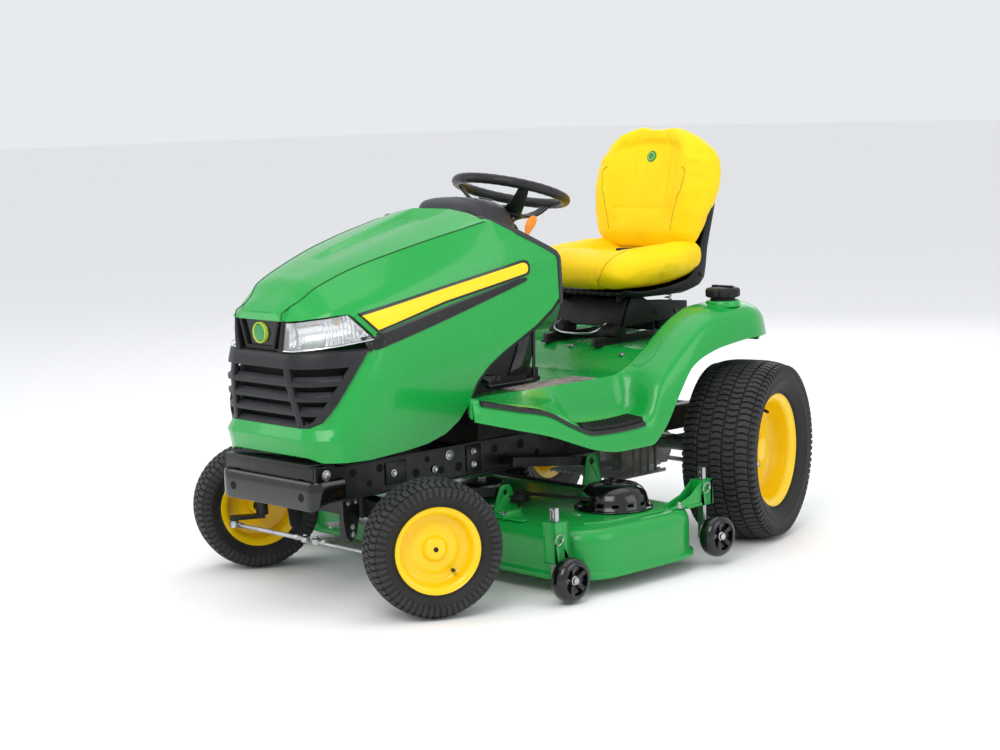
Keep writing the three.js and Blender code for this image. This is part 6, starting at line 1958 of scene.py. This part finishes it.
def build_deck():
    outer = [
        (0.0020, 0.0480), (0.0080, 0.0462), (0.0125, 0.0490), (0.0135, 0.0550), (0.0115, 0.0610), (0.0050, 0.0650),
        (0.0010, 0.0700), (0.0, 0.0780), (0.0, 0.1480), (-0.0015, 0.1600), (-0.0055, 0.1720), (-0.0130, 0.1820),
        (-0.0230, 0.1880), (-0.0340, 0.1900), (-0.0480, 0.1902), (-0.0520, 0.1925), (-0.0580, 0.1932)
    ]
    rings = [deck_ring(g, z) for g, z in outer]
    body = raw("deck_shell_detail", loft(rings, True, True))
    hollow = raw(
        "tool",
        loft(
            [
                deck_ring(-0.0045, 0.02), deck_ring(-0.0045, 0.1480), deck_ring(-0.010, 0.1660),
                deck_ring(-0.022, 0.1820), deck_ring(-0.040, 0.1860)
            ],
            True, True
        )
    )
    boolean(body, hollow)
    boolean(body, raw("tool", slab(-0.72, -0.60, -0.190, 0.120, 0.02, 0.144)))
    spindles = [(x, 0.045 if x else -0.060) for x in (-0.45, 0.0, 0.45)]
    for x, y in spindles:
        boolean(body, raw("tool", rod((x, y, 0.15), (x, y, 0.25), 0.020, 32, 0)))
    add_bevel(body, 0.0012, 1, 60)
    dress(body, DECK_GREEN, "deck", replaces=["deck_shell"], angle=30)
    housings = Shape()
    for x, y in spindles:
        housings.add(
            turned(
                [
                    (0.0145, 0.168), (0.034, 0.168), (0.034, 0.196), (0.060, 0.196), (0.062, 0.200), (0.045, 0.204),
                    (0.036, 0.2085), (0.0145, 0.2085)
                ],
                36, (x, y, 0), closed=True
            )
        )
        for k in range(4):
            t = math.pi / 4 + k * math.pi / 2
            housings.add(
                turned(
                    [(0, 0), (0.006, 0), (0.006, 0.005), (0, 0.0055)], 6,
                    (x + 0.052 * math.cos(t), y + 0.052 * math.sin(t), 0.1995)
                )
            )
    piece("spindle_housings", housings, BLACK, "deck", angle=40)
    pins = {"rear": (0.165, 0.300, 0.265, 0.0098), "front": (-0.185, 0.250, 0.235, 0.0088)}
    for end, (y, z, x, bore) in pins.items():
        for name, side in SIDES:
            line = [
                (y - 0.050, 0.1925), (y + 0.052, 0.1925), (y + 0.024, z + 0.016), (y + 0.012, z + 0.024),
                (y - 0.012, z + 0.024), (y - 0.022, z + 0.014)
            ]
            plate = raw(
                "lift_bracket_%s_%s" % (end, name),
                Shape().add(prism(line, "yz", side * (x - 0.003), side * (x + 0.003)))
            )
            foot = slab(side * x - 0.022, side * x + 0.022, y - 0.050, y + 0.052, 0.1925, 0.1975)
            boolean(plate, raw("tool", rod((side * x - 0.05, y, z), (side * x + 0.05, y, z), bore, 24, 0)))
            add_bevel(plate, 0.001, 2, 50)
            dress(plate, DECK_GREEN, "deck")
            piece("lift_foot_%s_%s" % (end, name), foot, DECK_GREEN, "deck", 0.0015)
    # Sockets of the gauge wheels' legs, with their pins and rings.
    sockets, hardware = Shape(), Shape()
    for name, side in SIDES:
        x = side * 0.604
        for y0, y1, z0, z1 in ((-0.366, -0.354, 0.112, 0.232), (-0.330, -0.302, 0.112, 0.232)):
            sockets.add(slab(x - 0.024, x + 0.024, y0, y1, z0, z1))
        for dx in (-0.024, 0.0165):
            sockets.add(slab(x + dx, x + dx + 0.0075, -0.366, -0.302, 0.112, 0.232))
        for y0, y1 in ((0.276, 0.288), (0.312, 0.324)):
            sockets.add(slab(x - 0.024, x + 0.024, y0, y1, 0.184, 0.262))
        for dx in (-0.024, 0.0165):
            sockets.add(slab(x + dx, x + dx + 0.0075, 0.276, 0.324, 0.184, 0.262))
            gusset = [(0.130, 0.1925), (0.276, 0.186), (0.276, 0.258), (0.225, 0.222)]
            sockets.add(prism(gusset, "yz", x + dx, x + dx + 0.0045))
        sockets.add(slab(x - 0.024, x + 0.024, 0.205, 0.276, 0.184, 0.1945))
        for y, z in ((-0.342, 0.182), (0.300, 0.238)):
            hardware.add(rod((x - side * 0.030, y, z), (x + side * 0.034, y, z), 0.0042))
            loop = [
                (
                    x + side * (0.031 + 0.004 * math.sin(a)), y - 0.012 + 0.016 * math.cos(a),
                    z + 0.002 + 0.016 * math.sin(a)
                )
                for a in (2 * math.pi * k / 24 for k in range(24))
            ]
            hardware.add(tube(loop, 0.0016, 8, True))
    for x, y in ((0.62, 0.175), (-0.62, 0.175), (0.52, -0.24), (-0.52, -0.24), (0.30, -0.25), (-0.30, -0.25)):
        hardware.add(
            turned(
                [
                    (0, 0), (0.014, 0), (0.014, 0.002), (0.010, 0.0025), (0.0095, 0.010), (0.006, 0.011),
                    (0.006, 0.017), (0, 0.018)
                ],
                24, (x, y, 0.1925)
            )
        )
    piece("gauge_sockets", sockets, DECK_GREEN, "deck", 0.002, angle=40)
    piece("deck_hardware", hardware, STEEL, "deck")
    ridges = Shape()
    for x0, x1, y in ((-0.40, 0.40, -0.262), (-0.34, 0.34, 0.218)):
        ridges.add(
            loft(
                [
                    [
                        (x0, y - 0.014, 0.1925), (x0, y - 0.006, 0.1985), (x0, y + 0.006, 0.1985),
                        (x0, y + 0.014, 0.1925)
                    ],
                    [
                        (x1, y - 0.014, 0.1925), (x1, y - 0.006, 0.1985), (x1, y + 0.006, 0.1985),
                        (x1, y + 0.014, 0.1925)
                    ]
                ]
            )
        )
    for name, side in SIDES:
        ridges.add(
            prism(
                [(-0.285, 0.1925), (-0.20, 0.1925), (-0.215, 0.214), (-0.270, 0.214)], "yz", side * 0.33 - 0.0025,
                side * 0.33 + 0.0025
            )
        )
        ridges.add(
            tube(
                [
                    (side * 0.57, -0.19, 0.1935), (side * 0.605, -0.13, 0.1935), (side * 0.615, 0.10, 0.1935),
                    (side * 0.58, 0.18, 0.1935)
                ],
                0.0055, 10
            )
        )
    piece("deck_ridges", ridges, DECK_GREEN, "deck", 0.0012)
    idlers = Shape()
    for x, y in ((0.225, -0.128), (-0.225, -0.128)):
        idlers.add(
            turned(
                [
                    (0.0, 0.1925), (0.013, 0.1925), (0.013, 0.2175), (0.046, 0.2175), (0.046, 0.220), (0.040, 0.2225),
                    (0.040, 0.233), (0.046, 0.2355), (0.046, 0.238), (0.020, 0.238), (0.016, 0.243), (0, 0.244)
                ],
                40, (x, y, 0)
            )
        )
    piece("deck_idlers", idlers, BLACK, "deck", angle=40)
    for k, name in enumerate(("right", "centre", "left")):
        x, y = spindles[k]
        one = Shape()
        one.add(
            turned(
                [
                    (0.0135, 0.2145), (0.055, 0.2145), (0.068, 0.2165), (0.070, 0.2185), (0.060, 0.2217),
                    (0.0135, 0.2217)
                ],
                48, (x, y, 0), closed=True
            )
        )
        one.add(
            turned(
                [
                    (0.0135, 0.2343), (0.060, 0.2343), (0.070, 0.2375), (0.068, 0.2395), (0.055, 0.2412),
                    (0.0135, 0.2412)
                ],
                48, (x, y, 0), closed=True
            )
        )
        piece("pulley_" + name, one, BLACK, "cutter_" + name, angle=40)
        piece(
            "pulley_nut_" + name,
            turned([(0, 0.246), (0.0135, 0.246), (0.0135, 0.254), (0.009, 0.2565), (0, 0.257)], 6, (x, y, 0)), STEEL,
            "cutter_" + name, 0.0008
        )

    for name, side in SIDES:
        profile = [
            (0.0, 0.2740), (0.040, 0.2738), (0.043, 0.2705), (0.062, 0.2690), (0.074, 0.2655), (0.090, 0.2545),
            (0.1005, 0.2400), (0.1055, 0.2245), (0.1085, 0.2060), (0.1120, 0.2010), (0.1210, 0.1995),
            (0.1220, 0.1965), (0.1180, 0.1935), (0.1080, 0.1935), (0.1050, 0.2030), (0.1020, 0.2230),
            (0.0970, 0.2385), (0.0870, 0.2510), (0.0720, 0.2610), (0.0600, 0.2645), (0.0, 0.2690)
        ]
        x, y = side * 0.46, 0.058
        cover = raw("spindle_cover_dome_" + name, turned(profile, 72, (x, y, 0)))
        boolean(
            cover,
            raw(
                "tool",
                slab(
                    min(0, side * 0.46) if side < 0 else 0.31, max(0, 0.46) if side > 0 else -0.31, -0.050, 0.124,
                    0.2125, 0.2465
                )
            )
        )
        for k in range(7):
            t = math.radians(-70 + 26 * k) if side > 0 else math.radians(110 + 26 * k)
            m = Matrix.Translation((x, y, 0.2145)) @ Matrix.Rotation(t, 4, "Z")
            boolean(cover, raw("tool", Shape().add(slab(0.095, 0.125, -0.010, 0.010, -0.0045, 0.0045), m)))
        add_bevel(cover, 0.001, 2, 60)
        dress(cover, GLOSS_BLACK, "deck", replaces=["spindle_cover_" + name], angle=40)
        ribs = Shape()
        for k in range(3):
            t = math.radians(20 + 120 * k)
            m = Matrix.Translation((x, y, 0)) @ Matrix.Rotation(t, 4, "Z")
            ribs.add(slab(0.028, 0.078, -0.007, 0.007, 0.262, 0.2735), m)
        ribs.add(turned([(0, 0.272), (0.010, 0.272), (0.010, 0.278), (0.006, 0.280), (0, 0.280)], 24, (x, y, 0)))
        piece("spindle_cover_ribs_" + name, ribs, GLOSS_BLACK, "deck", 0.002)

        for end, y, z, top in (("front", -0.342, 0.070, 0.272), ("rear", 0.300, 0.092, 0.298)):
            leg = raw(
                "gauge_leg_post_%s_%s" % (end, name),
                slab(side * 0.604 - 0.011, side * 0.604 + 0.011, y - 0.007, y + 0.007, z - 0.016, top)
            )
            for k in range(5):
                hole = rod(
                    (side * 0.604, y - 0.02, top - 0.014 - 0.019 * k),
                    (side * 0.604, y + 0.02, top - 0.014 - 0.019 * k), 0.0045, 20, 0
                )
                boolean(leg, raw("tool", hole))
            add_bevel(leg, 0.0022, 3, 50)
            dress(leg, STEEL, "deck", replaces=["gauge_leg_%s_%s" % (end, name)])
            wheel_x = side * 0.664
            bolt = Shape().add(rod((side * 0.604, y, z), (side * 0.690, y, z), 0.0078))
            bolt.add(
                turned(
                    [(0, 0), (0.013, 0), (0.013, 0.002), (0.0105, 0.003), (0.0100, 0.009), (0, 0.0105)], 24,
                    (side * 0.6795, y, z), (side, 0, 0)
                )
            )
            piece("gauge_bolt_%s_%s" % (end, name), bolt, STEEL, "deck")
            out = [
                (0.0088, -0.024), (0.020, -0.0265), (0.046, -0.0280), (0.057, -0.0235), (0.0635, -0.0140),
                (0.0650, -0.0040), (0.0650, 0.0040), (0.0635, 0.0140), (0.0575, 0.0230), (0.0500, 0.0275),
                (0.0455, 0.0280), (0.0425, 0.0255), (0.0400, 0.0120), (0.0180, 0.0080), (0.0160, 0.0130),
                (0.0088, 0.0130)
            ]
            m = Matrix.Translation((wheel_x, y, z)) @ Matrix.Rotation(0 if side > 0 else math.pi, 4, "Z")
            wheel = Shape().add(turned(out, 56, (0, 0, 0), (1, 0, 0), closed=True), m)
            piece(
                "gauge_wheel_ball_%s_%s" % (end, name), wheel, GLOSS_BLACK, "gauge_%s_%s" % (end, name),
                replaces=["gauge_wheel_%s_%s" % (end, name)], angle=35
            )
            spokes = Shape()
            for k in range(5):
                t = 2 * math.pi * k / 5 + 0.2
                turn = m @ Matrix.Rotation(t, 4, "X")
                spokes.add(
                    loft(
                        [
                            [
                                (0.006, -0.0050, 0.013), (0.006, 0.0050, 0.013), (0.0150, 0.0042, 0.013),
                                (0.0150, -0.0042, 0.013)
                            ],
                            [
                                (0.006, -0.0095, 0.0435), (0.006, 0.0095, 0.0435), (0.0240, 0.0085, 0.0435),
                                (0.0240, -0.0085, 0.0435)
                            ]
                        ]
                    ),
                    turn
                )
            piece("gauge_spokes_%s_%s" % (end, name), spokes, GLOSS_BLACK, "gauge_%s_%s" % (end, name), 0.0012)

    x = -0.680
    outer = [
        (x - 0.002, 0.172), (x - 0.020, 0.1705), (x - 0.110, 0.153), (x - 0.136, 0.138), (x - 0.148, 0.112),
        (x - 0.150, 0.066), (x - 0.002, 0.066)
    ]
    chute = raw("discharge_chute_detail", prism(outer, "xz", -0.190, 0.120))
    hollow = [
        (x + 0.04, 0.1675), (x - 0.020, 0.1660), (x - 0.108, 0.1485), (x - 0.132, 0.135), (x - 0.1435, 0.111),
        (x - 0.1455, 0.03), (x + 0.04, 0.03)
    ]
    boolean(chute, raw("tool", prism(hollow, "xz", -0.186, 0.116)))
    add_bevel(chute, 0.002, 2, 45)
    dress(chute, BLACK_PLASTIC, "chute", replaces=["discharge_chute"])
    chute_ribs = Shape()
    for y in (-0.145, -0.075, -0.005, 0.065):
        chute_ribs.add(
            loft(
                [
                    [
                        (x - 0.022, y - 0.004, 0.168), (x - 0.022, y + 0.004, 0.168), (x - 0.022, y + 0.003, 0.1745),
                        (x - 0.022, y - 0.003, 0.1745)
                    ],
                    [
                        (x - 0.110, y - 0.004, 0.150), (x - 0.110, y + 0.004, 0.150), (x - 0.110, y + 0.003, 0.157),
                        (x - 0.110, y - 0.003, 0.157)
                    ]
                ]
            )
        )
    piece("chute_ribs", chute_ribs, BLACK_PLASTIC, "chute", 0.001)


# ---------------------------------------------------------------- camera, light and floor
def build_camera():
    azimuth, elevation, roll = math.radians(46.6113), math.radians(7.5035), math.radians(-1.6838)
    back = Vector(
        (math.sin(azimuth) * math.cos(elevation), -math.cos(azimuth) * math.cos(elevation), math.sin(elevation))
    )
    right = Vector((math.cos(azimuth), math.sin(azimuth), 0))
    up = back.cross(right)
    place = right * 0.0228 + up * 0.5665 + back * 6.602 + OFFSET
    r = right * math.cos(roll) + up * math.sin(roll)
    u = up * math.cos(roll) - right * math.sin(roll)
    data = bpy.data.cameras.new("photo_camera")
    data.lens = 74.13
    data.sensor_width = 36
    data.clip_end = 300
    camera = bpy.data.objects.new("photo_camera", data)
    m = Matrix((r, u, back)).transposed().to_4x4()
    m.translation = place
    camera.matrix_world = m
    bpy.context.scene.collection.objects.link(camera)
    bpy.context.scene.camera = camera


def build_stage():
    mesh = bpy.data.meshes.new("floor")
    s = 80
    mesh.from_pydata([(-s, -s, 0), (s, -s, 0), (s, s, 0), (-s, s, 0)], [], [(0, 1, 2, 3)])
    floor = bpy.data.objects.new("floor", mesh)
    bpy.context.scene.collection.objects.link(floor)
    material, nodes, links, shader = node_material("floor_white", "floor")
    shader.inputs["Base Color"].default_value = (0.93, 0.93, 0.93, 1)
    grain = noise(nodes, links, 3, 2)
    links.new(spread(nodes, links, grain.outputs["Fac"], 0.75, 0.85), shader.inputs["Roughness"])
    mesh.materials.append(material)
    world = bpy.context.scene.world or bpy.data.worlds.new("studio")
    bpy.context.scene.world = world
    world.use_nodes = True
    background = world.node_tree.nodes["Background"]
    background.inputs["Color"].default_value = (0.95, 0.97, 1, 1)
    background.inputs["Strength"].default_value = 0.85
    bpy.context.scene.view_settings.view_transform = "Standard"
    lights = (
        ("key", (2.6, -4.2, 4.4), 3.0, 130, (1, 0.98, 0.95)),
        ("side", (5.0, 1.5, 2.6), 3.0, 50, (0.97, 0.98, 1)),
        ("front", (-3.4, -4.6, 2.8), 3.2, 50, (0.97, 0.98, 1)),
        ("top", (0, 0.4, 5.0), 4.5, 60, (1, 1, 1)),
        ("rear", (-2.5, 5.0, 3.5), 3.5, 50, (1, 1, 1)),
    )
    for name, at, size, power, colour in lights:
        data = bpy.data.lights.new(name, "AREA")
        data.size = size
        data.energy = power
        data.color = colour
        lamp = bpy.data.objects.new(name, data)
        bpy.context.scene.collection.objects.link(lamp)
        aim = Vector((0.05, -0.05, 0.6)) - Vector(at)
        lamp.matrix_world = Matrix.Translation(at) @ aim.to_track_quat("-Z", "Y").to_matrix().to_4x4()


FINISHES = {
    "green_paint": GREEN,
    "deck_green": DECK_GREEN,
    "wheel_yellow": YELLOW,
    "seat_vinyl": VINYL,
    "black_paint": BLACK,
    "black_plastic": BLACK_PLASTIC,
    "charcoal_plastic": CHARCOAL,
    "tyre_rubber": RUBBER,
    "belt_rubber": BELT,
    "clear_lens": LENS,
    "bare_steel": STEEL,
    "cast_aluminium": ALUMINIUM,
    "orange_plastic": ORANGE,
}
for part in frame["record"]["subparts"]:
    for place in frame["nodes"][part["node"]].material_slots:
        place.material = FINISHES[part["material_slot"]]

build_camera()
build_stage()
build_hood()
build_grille()
build_badge()
build_lamps()
build_dash()
build_steering_wheel()
build_fender()
build_seat()
build_seat_base()
build_wheels()
build_chassis()
build_deck()
